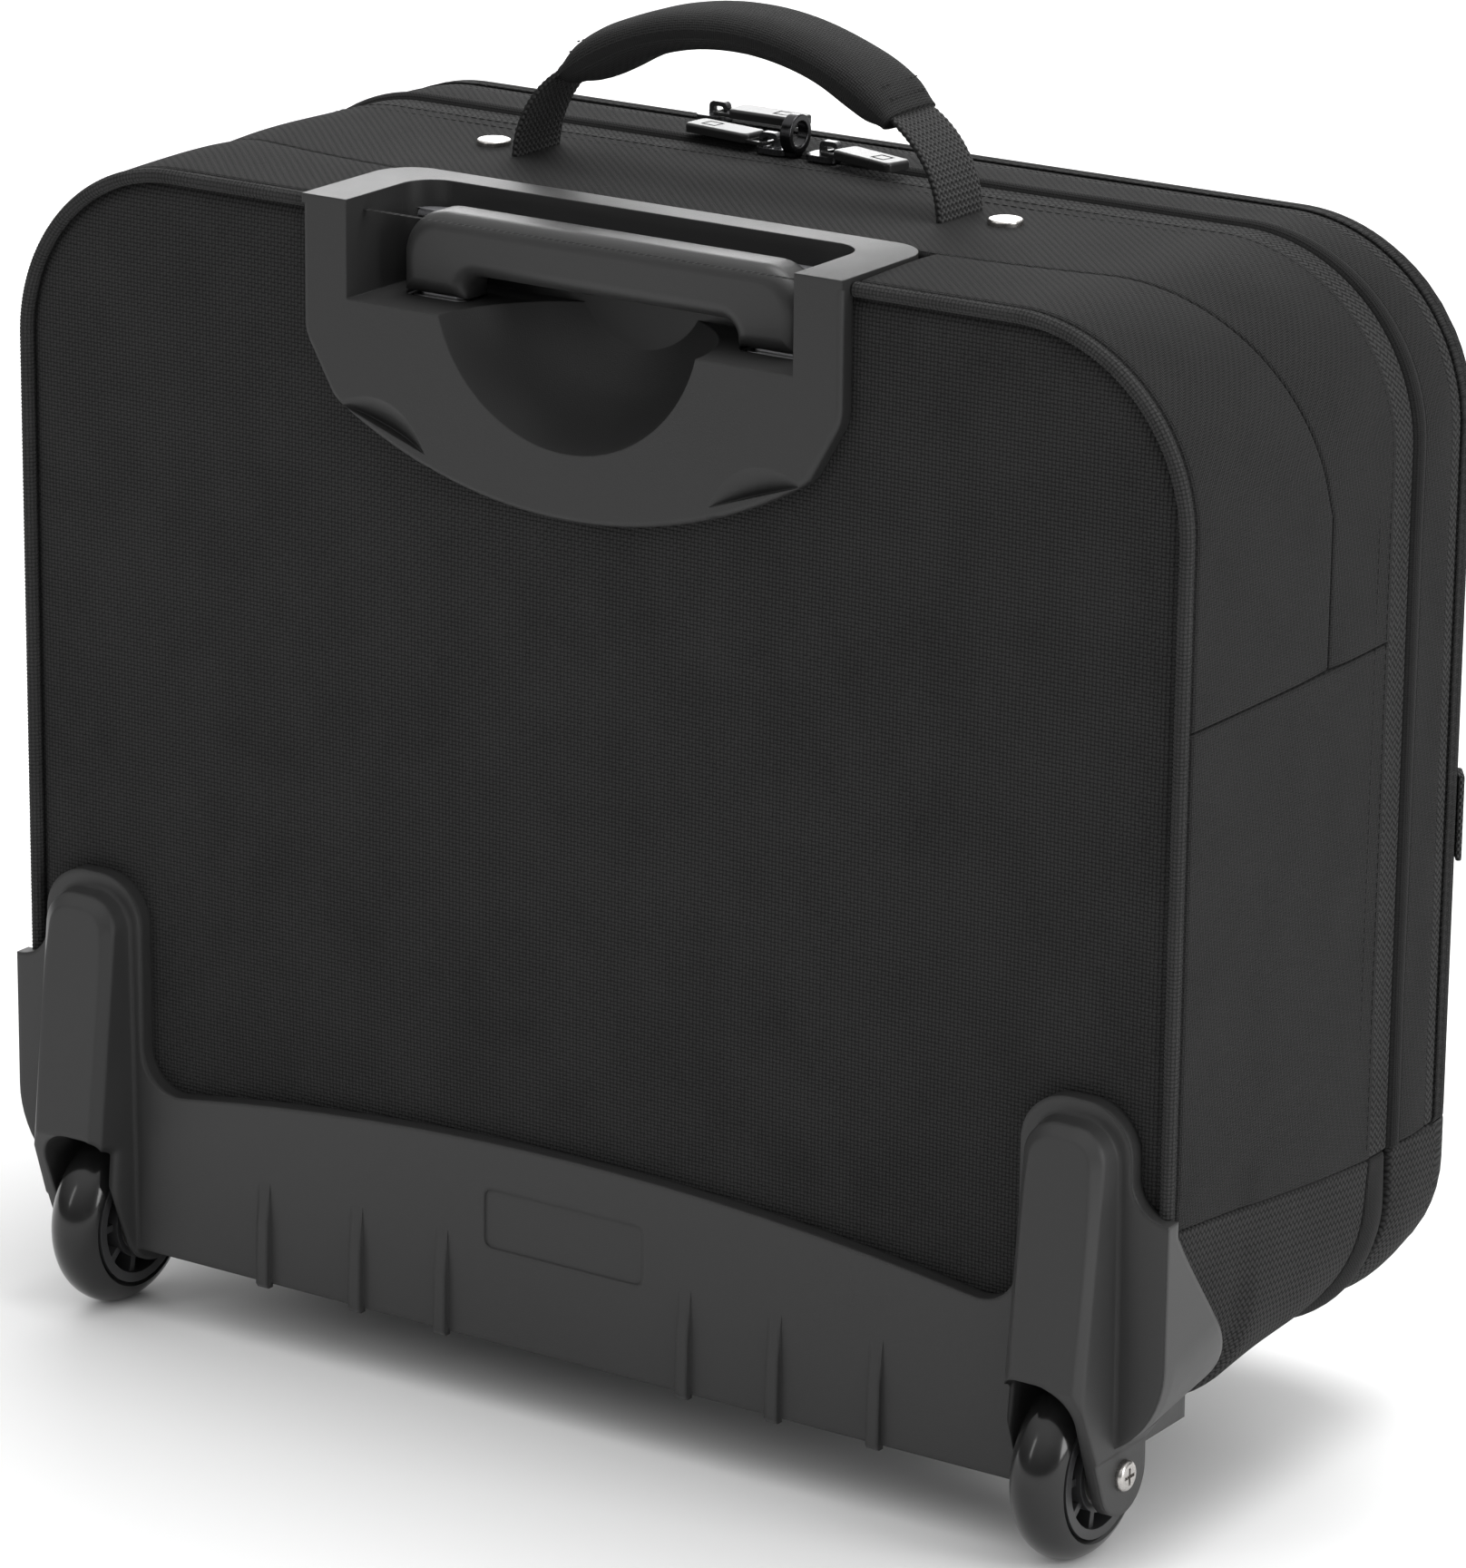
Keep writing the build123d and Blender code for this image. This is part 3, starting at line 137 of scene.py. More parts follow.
# ---- Materials ----
class Graph:
    """A short way to write a material's nodes."""

    def __init__(self, name):
        self.material = bpy.data.materials.new(name)
        self.material.use_nodes = True
        self.nodes = self.material.node_tree.nodes
        self.links = self.material.node_tree.links
        self.shader = self.nodes["Principled BSDF"]

    def node(self, kind, **settings):
        made = self.nodes.new(kind)
        for key, value in settings.items():
            setattr(made, key, value)
        return made

    def feed(self, value, socket):
        if isinstance(value, bpy.types.NodeSocket):
            self.links.new(value, socket)
        else:
            socket.default_value = value

    def math(self, operation, a, b=0.0, c=0.0):
        made = self.node("ShaderNodeMath", operation=operation)
        for value, socket in zip((a, b, c), made.inputs):
            self.feed(value, socket)
        return made.outputs[0]

    def mix(self, factor, a, b):
        made = self.node("ShaderNodeMix", data_type="RGBA")
        self.feed(factor, made.inputs[0])
        for value, socket in ((a, made.inputs[6]), (b, made.inputs[7])):
            linked = isinstance(value, bpy.types.NodeSocket)
            self.feed(value if linked else (*value, 1), socket)
        return made.outputs[2]

    def noise(self, vector, scale, detail=2.0):
        made = self.node("ShaderNodeTexNoise")
        self.feed(vector, made.inputs["Vector"])
        self.feed(scale, made.inputs["Scale"])
        self.feed(detail, made.inputs["Detail"])
        return made.outputs["Fac"]

    def place(self):
        return self.node("ShaderNodeTexCoord").outputs["Object"]

    def cloth_map(self):
        return self.node("ShaderNodeAttribute", attribute_name="cloth").outputs["Vector"]

    def split(self, vector):
        made = self.node("ShaderNodeSeparateXYZ")
        self.feed(vector, made.inputs[0])
        return made.outputs

    def ridge(self, value):
        """A sine wave that crosses zero at each whole value."""
        return self.math("SINE", self.math("MULTIPLY", value, math.pi))

    def bump(self, height, distance, normal=None):
        made = self.node("ShaderNodeBump")
        self.feed(height, made.inputs["Height"])
        self.feed(distance, made.inputs["Distance"])
        self.feed(1.0, made.inputs["Strength"])
        if normal is not None:
            self.feed(normal, made.inputs["Normal"])
        return made.outputs[0]

    def rounded(self, radius):
        made = self.node("ShaderNodeBevel", samples=4)
        made.inputs["Radius"].default_value = radius
        return made.outputs[0]

    def shade(self, **values):
        """Sets the shader's inputs, named with _ for a space."""
        for key, value in values.items():
            self.feed(value, self.shader.inputs[key.replace("_", " ")])


def grey(value):
    return (value, value, value)


def plain(name, colour, rough):
    g = Graph(name)
    g.shade(Base_Color=(*colour, 1), Roughness=rough)
    return g.material


def cloth(name, dark, light, pitch, period=2, float_over=1, depth=0.22, turn=0.0, mapped=True, slub=0.35):
    """Woven cloth. Threads of one pitch cross; each passes over float_over of every period threads. Its
    colour carries painted shade in the gaps between threads.
    """
    g = Graph(name)
    if mapped:
        u, v, _ = g.split(g.cloth_map())
    else:
        x, y, v = g.split(g.place())
        u = g.math("ADD", x, y)
    if turn:
        cosine, sine = math.cos(turn), math.sin(turn)
        turned = g.math("ADD", g.math("MULTIPLY", u, cosine), g.math("MULTIPLY", v, sine))
        v = g.math("SUBTRACT", g.math("MULTIPLY", v, cosine), g.math("MULTIPLY", u, sine))
        u = turned
    u = g.math("DIVIDE", u, pitch)
    v = g.math("DIVIDE", v, pitch)
    cell = g.math("ADD", g.math("FLOOR", u), g.math("FLOOR", v))
    over = g.math("LESS_THAN", g.math("FLOORED_MODULO", cell, period), float_over - 0.5)
    under = g.math("SUBTRACT", 1.0, over)
    warp = g.ridge(g.math("FRACT", u))
    weft = g.ridge(g.math("FRACT", v))
    across = g.math("MULTIPLY", warp, g.math("MULTIPLY_ADD", weft, 0.35, 0.65))
    along = g.math("MULTIPLY", weft, g.math("MULTIPLY_ADD", warp, 0.35, 0.65))
    thread = g.math("ADD", g.math("MULTIPLY", over, across), g.math("MULTIPLY", under, along))
    place = g.place()
    fuzz = g.noise(place, 1100.0)
    tone = g.noise(place, 45.0, 4.0)
    # The colour follows the threads' height, lighter on their crowns and darker in the gaps between them,
    # which is painted shade; fine fuzz and slow random tone vary it as well.
    shade = g.math("MULTIPLY_ADD", fuzz, slub, thread)
    shade = g.math("MULTIPLY", shade, g.math("MULTIPLY_ADD", tone, 0.5, 0.6))
    g.shade(
        Base_Color=g.mix(shade, dark, light),
        Roughness=g.math("MULTIPLY_ADD", thread, -0.12, 0.92),
        Normal=g.bump(g.math("MULTIPLY_ADD", fuzz, 0.3, thread), depth * pitch),
        Sheen_Weight=0.03,
        Sheen_Roughness=0.35,
        Specular_IOR_Level=0.12,
    )
    return g.material


def ribbed(name, dark, light, pitch, depth=0.4):
    """Webbing with strong ribs across it and fine threads between them. Its colour carries painted shade in
    the grooves between ribs.
    """
    g = Graph(name)
    along, across, _ = g.split(g.cloth_map())
    along = g.math("DIVIDE", along, pitch)
    across = g.math("DIVIDE", across, pitch * 0.55)
    lane = g.math("MULTIPLY", g.math("FLOORED_MODULO", g.math("FLOOR", across), 2.0), 0.5)
    rib = g.math("ABSOLUTE", g.ridge(g.math("ADD", along, lane)))
    thread = g.math("ABSOLUTE", g.ridge(across))
    height = g.math("MULTIPLY", rib, g.math("MULTIPLY_ADD", thread, 0.4, 0.6))
    fuzz = g.noise(g.place(), 2200.0)
    # Painted shade: the colour is darker in the grooves between ribs and threads and lighter on their crowns,
    # with random fuzz on top.
    g.shade(
        Base_Color=g.mix(g.math("MULTIPLY_ADD", fuzz, 0.35, height), dark, light),
        Roughness=0.8,
        Normal=g.bump(g.math("MULTIPLY_ADD", fuzz, 0.25, height), depth * pitch),
        Sheen_Weight=0.03,
        Specular_IOR_Level=0.15,
    )
    return g.material


def moulded(name, colour, rough, grain=0.06, edge=0.7, patchy=0.12):
    """Moulded plastic with a fine spark grain, softened edges and slight uneven gloss."""
    g = Graph(name)
    place = g.place()
    fine = g.noise(place, 2600.0, 1.0)
    wide = g.noise(place, 30.0, 3.0)
    worn = tuple(min(1.0, c * 1.25) for c in colour)
    speck = g.math("MULTIPLY", g.math("GREATER_THAN", fine, 0.64), 0.35)
    g.shade(
        Base_Color=g.mix(g.math("MULTIPLY_ADD", wide, 0.5, speck), colour, worn),
        Roughness=g.math("MULTIPLY_ADD", wide, patchy, rough - patchy / 2),
        Normal=g.bump(fine, grain * MM, g.rounded(edge * MM)),
        Specular_IOR_Level=0.35,
    )
    return g.material


def metal(name, colour, rough, brushed=0.0):
    g = Graph(name)
    streak = g.noise(g.place(), 900.0, 2.0)
    darker = tuple(c * 0.75 for c in colour)
    g.shade(
        Base_Color=g.mix(streak, darker, colour),
        Metallic=1.0,
        Roughness=g.math("MULTIPLY_ADD", streak, 0.12, rough),
        Normal=g.bump(streak, (0.01 + brushed) * MM, g.rounded(0.25 * MM)),
    )
    return g.material


def tyre_material():
    g = Graph("tyre")
    scuff = g.noise(g.place(), 160.0, 5.0)
    g.shade(
        Base_Color=g.mix(scuff, grey(0.006), grey(0.014)),
        Roughness=g.math("MULTIPLY_ADD", scuff, 0.16, 0.12),
        Coat_Weight=0.25,
        Specular_IOR_Level=0.3,
        Coat_Roughness=0.08,
        Normal=g.bump(scuff, 0.02 * MM),
    )
    return g.material


WEBBING_PITCH = 2.1 * MM

# In each cloth and webbing below, the first colour is mostly painted shade in the gaps between threads, and
# the second is the colour of the thread crowns.
PANEL = cloth("back_weave", grey(0.001), grey(0.029), 1.3 * MM, slub=0.5)
TWILL = cloth("gusset_twill", grey(0.001), grey(0.020), 0.8 * MM, 4, 2, 0.35, slub=0.7)
COARSE = cloth("coarse_weave", grey(0.0015), grey(0.028), 1.7 * MM, 2, 1, 0.3, math.radians(38))
PLAIN_CLOTH = cloth("plain_strip", grey(0.003), grey(0.020), 0.6 * MM, 2, 1, 0.3, slub=0.6)
TAPE = cloth("zip_tape", grey(0.0015), grey(0.032), 1.7 * MM, 3, 1, 0.5, math.radians(45), slub=0.8)
GRIP_TWILL = cloth("grip_twill", grey(0.006), grey(0.030), 0.8 * MM, 4, 2, 0.35)
LINING_CLOTH = cloth("lining_cloth", (0.10, 0.10, 0.105), (0.20, 0.20, 0.21), 0.5 * MM, 2, 1, 0.2)
SLEEVE_CLOTH = cloth("sleeve_cloth", (0.05, 0.05, 0.052), (0.12, 0.12, 0.125), 0.7 * MM, 4, 2, 0.3)
WEBBING = ribbed("webbing", grey(0.002), grey(0.050), WEBBING_PITCH)
PIPING = cloth("piping_binding", grey(0.010), grey(0.040), 1.3 * MM, 2, 1, 0.2)
THREAD = cloth("thread", grey(0.008), grey(0.03), 0.3 * MM, 2, 1, 0.2, mapped=False)
HOUSING = moulded("housing_plastic", grey(0.018), 0.44)
PLATE = moulded("plate_plastic", grey(0.024), 0.42, 0.05, 2.2)
GRIP = moulded("grip_plastic", grey(0.026), 0.40, 0.05, 0.5)
BOARD = moulded("board_plastic", grey(0.03), 0.55, 0.1, 0.3)
GUIDE = moulded("guide_plastic", grey(0.02), 0.35, 0.03, 0.3)
HUB = moulded("hub_plastic", (0.030, 0.030, 0.031), 0.3, 0.02, 0.4)
PULL = moulded("puller_rubber", grey(0.016), 0.28, 0.03, 0.4)
FOOT = moulded("foot_rubber", grey(0.02), 0.7, 0.1, 1.0)
TUBE = metal("tube_aluminium", (0.50, 0.50, 0.51), 0.28, 0.02)
STEEL = metal("steel", (0.60, 0.59, 0.58), 0.25)
NICKEL = metal("nickel", (0.55, 0.53, 0.51), 0.22)
SLIDER = metal("black_nickel", (0.13, 0.13, 0.135), 0.22)
RING = metal("ring_black", (0.05, 0.05, 0.052), 0.18)
TYRE = tyre_material()

SIDES = ("left", "right")
CAD_MATERIALS = {
    HOUSING: ["handle_housing"],
    PLATE: ["kick_plate"],
    GRIP: ["trolley_grip", "release_button"],
    BOARD: ["opening_frame", "back_board", "bottom_board", "tube_bracket"],
    GUIDE: ["outer_guides", "middle_guides", "middle_feet", "inner_feet"],
    HUB: ["hub_left", "hub_right"],
    PULL: ["main_puller_left", "main_puller_right", "flap_puller"],
    FOOT: ["front_feet"],
    TUBE: [f"{stage}_tube_{side}" for stage in ("outer", "middle", "inner") for side in SIDES],
    STEEL: ["case_screws", "axle_sleeves", "release_rods"]
    + [f"{piece}_{side}" for piece in ("bearings", "bearing_spacer") for side in SIDES],
    NICKEL: ["axle_screws", "handle_rivets"],
    SLIDER: ["main_slider_left", "main_slider_right", "flap_slider", "front_badge"],
    RING: ["lock_ring"],
    TYRE: ["tyre_left", "tyre_right"],
}


def paint_cad():
    for material, nodes in CAD_MATERIALS.items():
        for name in nodes:
            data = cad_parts[name].data
            data.materials.clear()
            data.materials.append(material)


# ---- Outline of the body, seen from behind ----
def outline_table():
    """Places and outward normals along the outline, from the bottom's middle up the -X side and round."""
    inner_low, inner_top = HALF - LOW_R, HALF - TOP_R
    corners = [
        ((-inner_low, LOW + LOW_R), LOW_R, -90, -180),
        ((-inner_top, TOP - TOP_R), TOP_R, 180, 90),
        ((inner_top, TOP - TOP_R), TOP_R, 90, 0),
        ((inner_low, LOW + LOW_R), LOW_R, 0, -90),
    ]
    places, normals = [(0.0, LOW)], [(0.0, -1.0)]
    for (cx, cz), radius, start, end in corners:
        for angle in np.radians(np.linspace(start, end, 61)):
            normals.append((math.cos(angle), math.sin(angle)))
            places.append((cx + radius * math.cos(angle), cz + radius * math.sin(angle)))
    places.append((0.0, LOW))
    normals.append((0.0, -1.0))
    places, normals = np.array(places), np.array(normals)
    steps = np.hypot(*np.diff(places, axis=0).T)
    return np.concatenate([[0], np.cumsum(steps)]), places, normals


RUN, PLACES, NORMALS = outline_table()
AROUND = RUN[-1]


def outline(s):
    """Places and normals (x, z) on the outline at distances s."""
    at = np.stack([np.interp(s, RUN, PLACES[:, i]) for i in (0, 1)], -1)
    out = np.stack([np.interp(s, RUN, NORMALS[:, i]) for i in (0, 1)], -1)
    return at, out / np.linalg.norm(out, axis=-1, keepdims=True)


def s_at(z):
    """Distance along the outline at height z, on the -X side."""
    up = RUN < AROUND / 2
    return float(np.interp(z, PLACES[up, 1], RUN[up]))


def waves(x, y, z, size):
    """Slow, small unevenness of stretched cloth."""
    return size * (
        np.sin(31 * x + 17 * z + 1.3)
        + 0.6 * np.sin(53 * z - 41 * y + 0.4)
        + 0.5 * np.sin(67 * y + 29 * x + 2.1)
        + 0.35 * np.sin(97 * x - 83 * z + 0.9)
    )


# ---- Mesh helpers ----
def add_mesh(name, verts, faces, material, cloth_at=None):
    """A smooth mesh. cloth_at maps each point onto the flat cloth, for the weave."""
    mesh = bpy.data.meshes.new(name)
    mesh.from_pydata([tuple(v) for v in verts], [], [tuple(int(i) for i in f) for f in faces])
    if cloth_at is not None:
        data = mesh.attributes.new("cloth", "FLOAT_VECTOR", "POINT")
        flat = np.zeros((len(verts), 3), np.float32)
        flat[:, :2] = cloth_at
        data.data.foreach_set("vector", flat.ravel())
    mesh.validate()
    mesh.materials.append(material)
    mesh.polygons.foreach_set("use_smooth", [True] * len(mesh.polygons))
    made = bpy.data.objects.new(name, mesh)
    bpy.context.scene.collection.objects.link(made)
    return made


def grid_faces(rows, columns, base, flip):
    r, c = np.meshgrid(np.arange(rows - 1), np.arange(columns - 1), indexing="ij")
    a = (r * columns + c + base).ravel()
    quads = np.stack([a, a + 1, a + columns + 1, a + columns], -1)
    return quads[:, ::-1] if flip else quads


def shell(name, outer, inner, cloth_at, material, flip=False, keep=None):
    """A sheet with thickness between two grids of points, closed round its rim."""
    rows, columns = outer.shape[:2]
    count = rows * columns
    verts = np.concatenate([outer.reshape(-1, 3), inner.reshape(-1, 3)])
    top = grid_faces(rows, columns, 0, flip)
    under = grid_faces(rows, columns, count, not flip)
    if keep is not None:
        middle = outer.reshape(-1, 3)[top].mean(axis=1)
        kept = keep(middle[:, 0], middle[:, 1], middle[:, 2])
        top, under = top[kept], under[kept]
    index = np.arange(count).reshape(rows, columns)
    rim = np.concatenate([index[0, :], index[1:, -1], index[-1, -2::-1], index[-2:0:-1, 0]])
    after = np.roll(rim, -1)
    wall = np.stack([rim, rim + count, after + count, after], -1)
    if flip:
        wall = wall[:, ::-1]
    both = np.concatenate([cloth_at.reshape(-1, 2)] * 2)
    return add_mesh(name, verts, np.concatenate([top, under, wall]), material, both)


# Distances from a cut or sewn edge at which a mesh has its points.
EDGE_STEPS = np.array([0.0, 0.25, 0.6, 1.1, 1.8, 2.8]) * MM


def spread(start, end, step):
    """Values from start to end, close together near its ends."""
    length, dense = end - start, EDGE_STEPS[-1]
    middle = np.arange(1, max(2, int((length - dense - dense) / step)))
    inner = dense + middle * (length - dense - dense) / (len(middle) + 1)
    return start + np.concatenate([EDGE_STEPS, inner, length - EDGE_STEPS[::-1]])


def roll(distance, radius):
    """How far a sewn edge turns in, at a distance from it."""
    near = np.clip(1 - distance / radius, 0, 1)
    return radius * (1 - np.sqrt(np.clip(1 - near * near, 0, 1)))


def hoop(name, s, rear, front, material, edge=(1.3, 1.3), ends=(1.3, 1.3), thick=2.0, sink=0.0, puff=0.0,
         unevenness=0.25, columns=9, sag=0.0, slanted=False, keep=None):
    """Cloth that follows the outline over distances s, from y = rear forward to y = front."""
    y_rear = np.array([rear(v) if callable(rear) else rear for v in s])
    y_front = np.array([front(v) if callable(front) else front for v in s])
    width = (y_rear - y_front)[:, None]
    between = np.linspace(0, 1, columns + 2)[1:-1]
    edges = EDGE_STEPS[None, :]
    middle = edges[:, -1:] + between[None, :] * (width - 2 * edges[:, -1:])
    across = np.concatenate([np.repeat(edges, len(s), 0), middle, width - edges[:, ::-1]], 1)
    y = y_rear[:, None] - across
    along = s[:, None] + 0 * y
    depth = roll(across, edge[0] * MM) + roll(width - across, edge[1] * MM)
    depth = depth + roll(along - s[0], ends[0] * MM) + roll(s[-1] - along, ends[1] * MM)
    if slanted:
        along = along + seam_slant(along, y)
    at, out = outline(np.mod(along, AROUND))
    x0, z0 = at[..., 0], at[..., 1]
    bulge = np.sin(np.pi * np.clip(across / width, 0, 1))
    lower = np.clip((HINGE_Z - z0) / (HINGE_Z - LOW), 0, 1)
    lift = puff * MM * bulge**0.8 + waves(x0, y, z0, unevenness * MM) * bulge
    lift = lift + sag * MM * lower * bulge**0.8 * (1 + 0.35 * np.sin(38 * x0 + 60 * y))
    covered = np.clip((y - WING_FRONT + 8 * MM) / (8 * MM), 0, 1) * (z0 < WING_TOP + 4 * MM)
    depth = depth + (sink + 0.2 * covered) * MM - lift * (1 - covered)
    outer = np.stack([x0 - out[..., 0] * depth, y, z0 - out[..., 1] * depth], -1)
    depth = depth + thick * MM
    inner = np.stack([x0 - out[..., 0] * depth, y, z0 - out[..., 1] * depth], -1)
    return shell(name, outer, inner, np.stack([along, y], -1), material, keep=keep)


def half_width(z, inset):
    """Half of the outline's width at height z, drawn in by inset."""
    width = np.full_like(z, HALF - inset)
    for radius, centre_z, side in ((TOP_R, TOP - TOP_R, 1), (LOW_R, LOW + LOW_R, -1)):
        over = np.clip(side * (z - centre_z), 0, radius - inset)
        rounded = HALF - radius + np.sqrt(np.clip((radius - inset) ** 2 - over**2, 0, None))
        width = np.minimum(width, rounded)
    return width


def inside(x, z, inset):
    """Distance inward from the outline, drawn in by inset."""
    radius = np.where(z > (TOP + LOW) / 2, TOP_R, LOW_R) - inset
    qx = np.abs(x) - (HALF - inset - radius)
    qz = np.abs(z - (TOP + LOW) / 2) - ((TOP - LOW) / 2 - inset - radius)
    outside = np.hypot(np.maximum(qx, 0), np.maximum(qz, 0))
    return radius - outside - np.minimum(np.maximum(qx, qz), 0)


FACE_STEPS = np.array([0, 0.3, 0.8, 1.5, 2.4, 3.5, 5, 7, 9.5, 12.5, 16, 20, 26, 34]) * MM


def face(name, y_of, inset, z_low, z_high, material, thick=2.0, forward=False, step=5.0, keep=None):
    """Cloth across the case, inside the outline drawn in by inset, from z_low to z_high."""
    length = z_high - z_low
    ends = FACE_STEPS * min(1, 0.42 * length / FACE_STEPS[-1])
    count = max(1, int((length - 2 * ends[-1]) / (step * MM)))
    middle = np.linspace(ends[-1], length - ends[-1], count + 2)[1:-1]
    z = z_low + np.concatenate([ends, middle, length - ends[::-1]])
    half = half_width(z, inset)[:, None]
    share = np.linspace(-1, 1, int(2 * HALF / (step * MM)))[None, 1:-1]
    steps = FACE_STEPS[None, :]
    x = np.concatenate([steps - half, share * (half - FACE_STEPS[-1]), half - steps[:, ::-1]], 1)
    zz = z[:, None] + 0 * x
    y = y_of(inside(x, zz, inset), x, zz)
    outer = np.stack([x, y, zz], -1)
    inner = np.stack([x, y + (thick if forward else -thick) * MM, zz], -1)
    return shell(name, outer, inner, np.stack([x, zz], -1), material, flip=not forward, keep=keep)


def run_along(path):
    """Distance along a path to each of its points."""
    steps = np.linalg.norm(np.diff(path, axis=0), axis=1)
    return np.concatenate([[0], np.cumsum(steps)])


def sweep(name, path, side, up, ring, material, scale):
    """A closed ring of (sideways, upward) offsets carried along a path."""
    count, sides = len(path), len(ring)
    spots = ring[None, :, :] * scale[:, None, :]
    verts = path[:, None, :] + spots[..., :1] * side[:, None, :] + spots[..., 1:] * up[:, None, :]
    round_run = run_along(np.concatenate([ring, ring[:1]]))[:-1]
    cloth_at = np.stack(np.meshgrid(run_along(path), round_run, indexing="ij"), -1)
    a = np.arange(count - 1)[:, None] * sides + np.arange(sides)[None, :]
    b = np.arange(count - 1)[:, None] * sides + (np.arange(sides)[None, :] + 1) % sides
    quads = np.stack([a, b, b + sides, a + sides], -1).reshape(-1, 4)
    faces = [tuple(q) for q in quads]
    faces.append(tuple(range(sides))[::-1])
    faces.append(tuple(range((count - 1) * sides, count * sides)))
    return add_mesh(name, verts.reshape(-1, 3), faces, material, cloth_at.reshape(-1, 2))


def tube_ring(width, height, sides=16, power=2.0):
    angle = np.linspace(0, 2 * math.pi, sides, endpoint=False)
    x = np.sign(np.cos(angle)) * np.abs(np.cos(angle)) ** (2 / power) * width / 2
    y = np.sign(np.sin(angle)) * np.abs(np.sin(angle)) ** (2 / power) * height / 2
    return np.stack([x, y], -1)


def stitches(name, path, out, body, pitch=3.2, length=2.3, radius=0.28):
    """A row of single thread stitches lying along a path, half sunk in the cloth."""
    run = run_along(path)
    starts = np.arange(0.5 * pitch * MM, run[-1] - pitch * MM, pitch * MM)
    profile = ((0.0, 0.15), (0.2, 0.8), (0.5, 1.0), (0.8, 0.8), (1.0, 0.15))
    verts, faces, sides = [], [], 6
    for start in starts:
        base = len(verts)
        for share, thick in profile:
            where = start + share * length * MM
            at = np.array([np.interp(where, run, path[:, i]) for i in range(3)])
            normal = np.array([np.interp(where, run, out[:, i]) for i in range(3)])
            ahead = np.array([np.interp(where + 0.1 * MM, run, path[:, i]) for i in range(3)])
            ahead -= at
            ahead /= np.linalg.norm(ahead) + 1e-12
            side = np.cross(ahead, normal)
            for k in range(sides):
                turn = 2 * math.pi * k / sides
                lift = radius * MM * thick
                verts.append(at + side * math.cos(turn) * lift + normal * math.sin(turn) * lift)
        for ring in range(len(profile) - 1):
            for k in range(sides):
                a, b = base + ring * sides + k, base + ring * sides + (k + 1) % sides
                faces.append((a, b, b + sides, a + sides))
    made = add_mesh(name, verts, faces, THREAD)
    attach(made, body)
    return made


def settle(piece, body, slot, *nodes):
    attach(piece, body)
    if nodes:
        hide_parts(*nodes)
    return piece


def softened(name, node, material, voxel, crop_z=None, crop_half=92 * MM):
    """A sewn piece in the shape of a CAD solid, with a cloth map. Its corners are soft if it has a voxel
    size in mm. With crop_z, only the faces above it and within crop_half of the middle stay."""
    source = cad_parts[node]
    piece = bpy.data.objects.new(name, source.data.copy())
    bpy.context.scene.collection.objects.link(piece)
    if voxel:
        remesh = piece.modifiers.new("soft", "REMESH")
        remesh.mode = "VOXEL"
        remesh.voxel_size = voxel * MM
        smooth = piece.modifiers.new("smooth", "SMOOTH")
        smooth.factor = 0.5
        smooth.iterations = 3
    ready = piece.evaluated_get(bpy.context.evaluated_depsgraph_get())
    mesh = bpy.data.meshes.new_from_object(ready)
    piece.modifiers.clear()
    piece.data = mesh
    co = np.array([v.co for v in mesh.vertices], float).reshape(-1, 3)
    data = mesh.attributes.new("cloth", "FLOAT_VECTOR", "POINT")
    flat = np.zeros((len(co), 3), np.float32)
    flat[:, 0] = co[:, 0] + co[:, 1]
    flat[:, 1] = co[:, 2] + 0.3 * co[:, 1]
    data.data.foreach_set("vector", flat.ravel())
    mesh.materials.clear()
    mesh.materials.append(material)
    mesh.polygons.foreach_set("use_smooth", [True] * len(mesh.polygons))
    if crop_z is not None:
        work = bmesh.new()
        work.from_mesh(mesh)
        middles = [(f, f.calc_center_median()) for f in work.faces]
        gone = [f for f, middle in middles if middle.z < crop_z or abs(middle.x) > crop_half]
        bmesh.ops.delete(work, geom=gone, context="FACES")
        work.to_mesh(mesh)
        work.free()
    return piece


# ---- Case body ----
HOUSING_LOW, HOUSING_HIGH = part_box("handle_housing")
HOUSING_HALF = HOUSING_HIGH.x
REAR_EDGE = BACK - 2.6 * MM  # where the gusset meets the piping
WING_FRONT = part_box("kick_plate")[0].y
WING_TOP = 117 * MM
SEAM_RISE = 13 * MM  # rise of the seam above the coarse panel, from the zipper to the rear edge
SEAM_LOW = 268 * MM  # horizontal seam on the sides
SEAM_HIGH = 316 * MM  # where the upright seam starts to lean back
SEAM_Y = -4.5 * MM
SEAM_END_Y = HOUSING_LOW.y  # the seam ends at the housing's front edge
S_SEAM = s_at(SEAM_LOW)
S_RISE = s_at(SEAM_HIGH)
S_HOUSING = AROUND / 2 - HOUSING_HALF
S_HINGE = s_at(HINGE_Z)


def rising_seam(s):
    """The seam between the rear and front parts of the gusset: upright, then leaning back to the housing."""
    s = min(s, AROUND - s)
    share = np.clip((s - S_RISE) / (S_HOUSING - S_RISE), 0, 1)
    return SEAM_Y + (SEAM_END_Y - SEAM_Y) * (1 - (1 - share) ** 1.7)


def seam_slant(s, y):
    """The seam above the coarse panel rises toward the rear: how far it is from level, along the outline."""
    s = np.mod(s, AROUND)
    near = np.minimum(s, AROUND - s)
    rise = SEAM_RISE * np.clip((y - CASE_TAPE) / (REAR_EDGE - CASE_TAPE), 0, 1)
    fade = np.clip(1 - np.abs(near - S_HINGE) / (55 * MM), 0, 1)
    return np.where(s < AROUND / 2, rise, -rise) * fade


def sides_and(build):
    """Builds a piece on the -X side, and again on the +X side."""
    build(False, "right")
    build(True, "left")


def on_side(start, end, mirrored, step=4.0):
    s = spread(start, end, step * MM)
    return AROUND - s[::-1] if mirrored else s


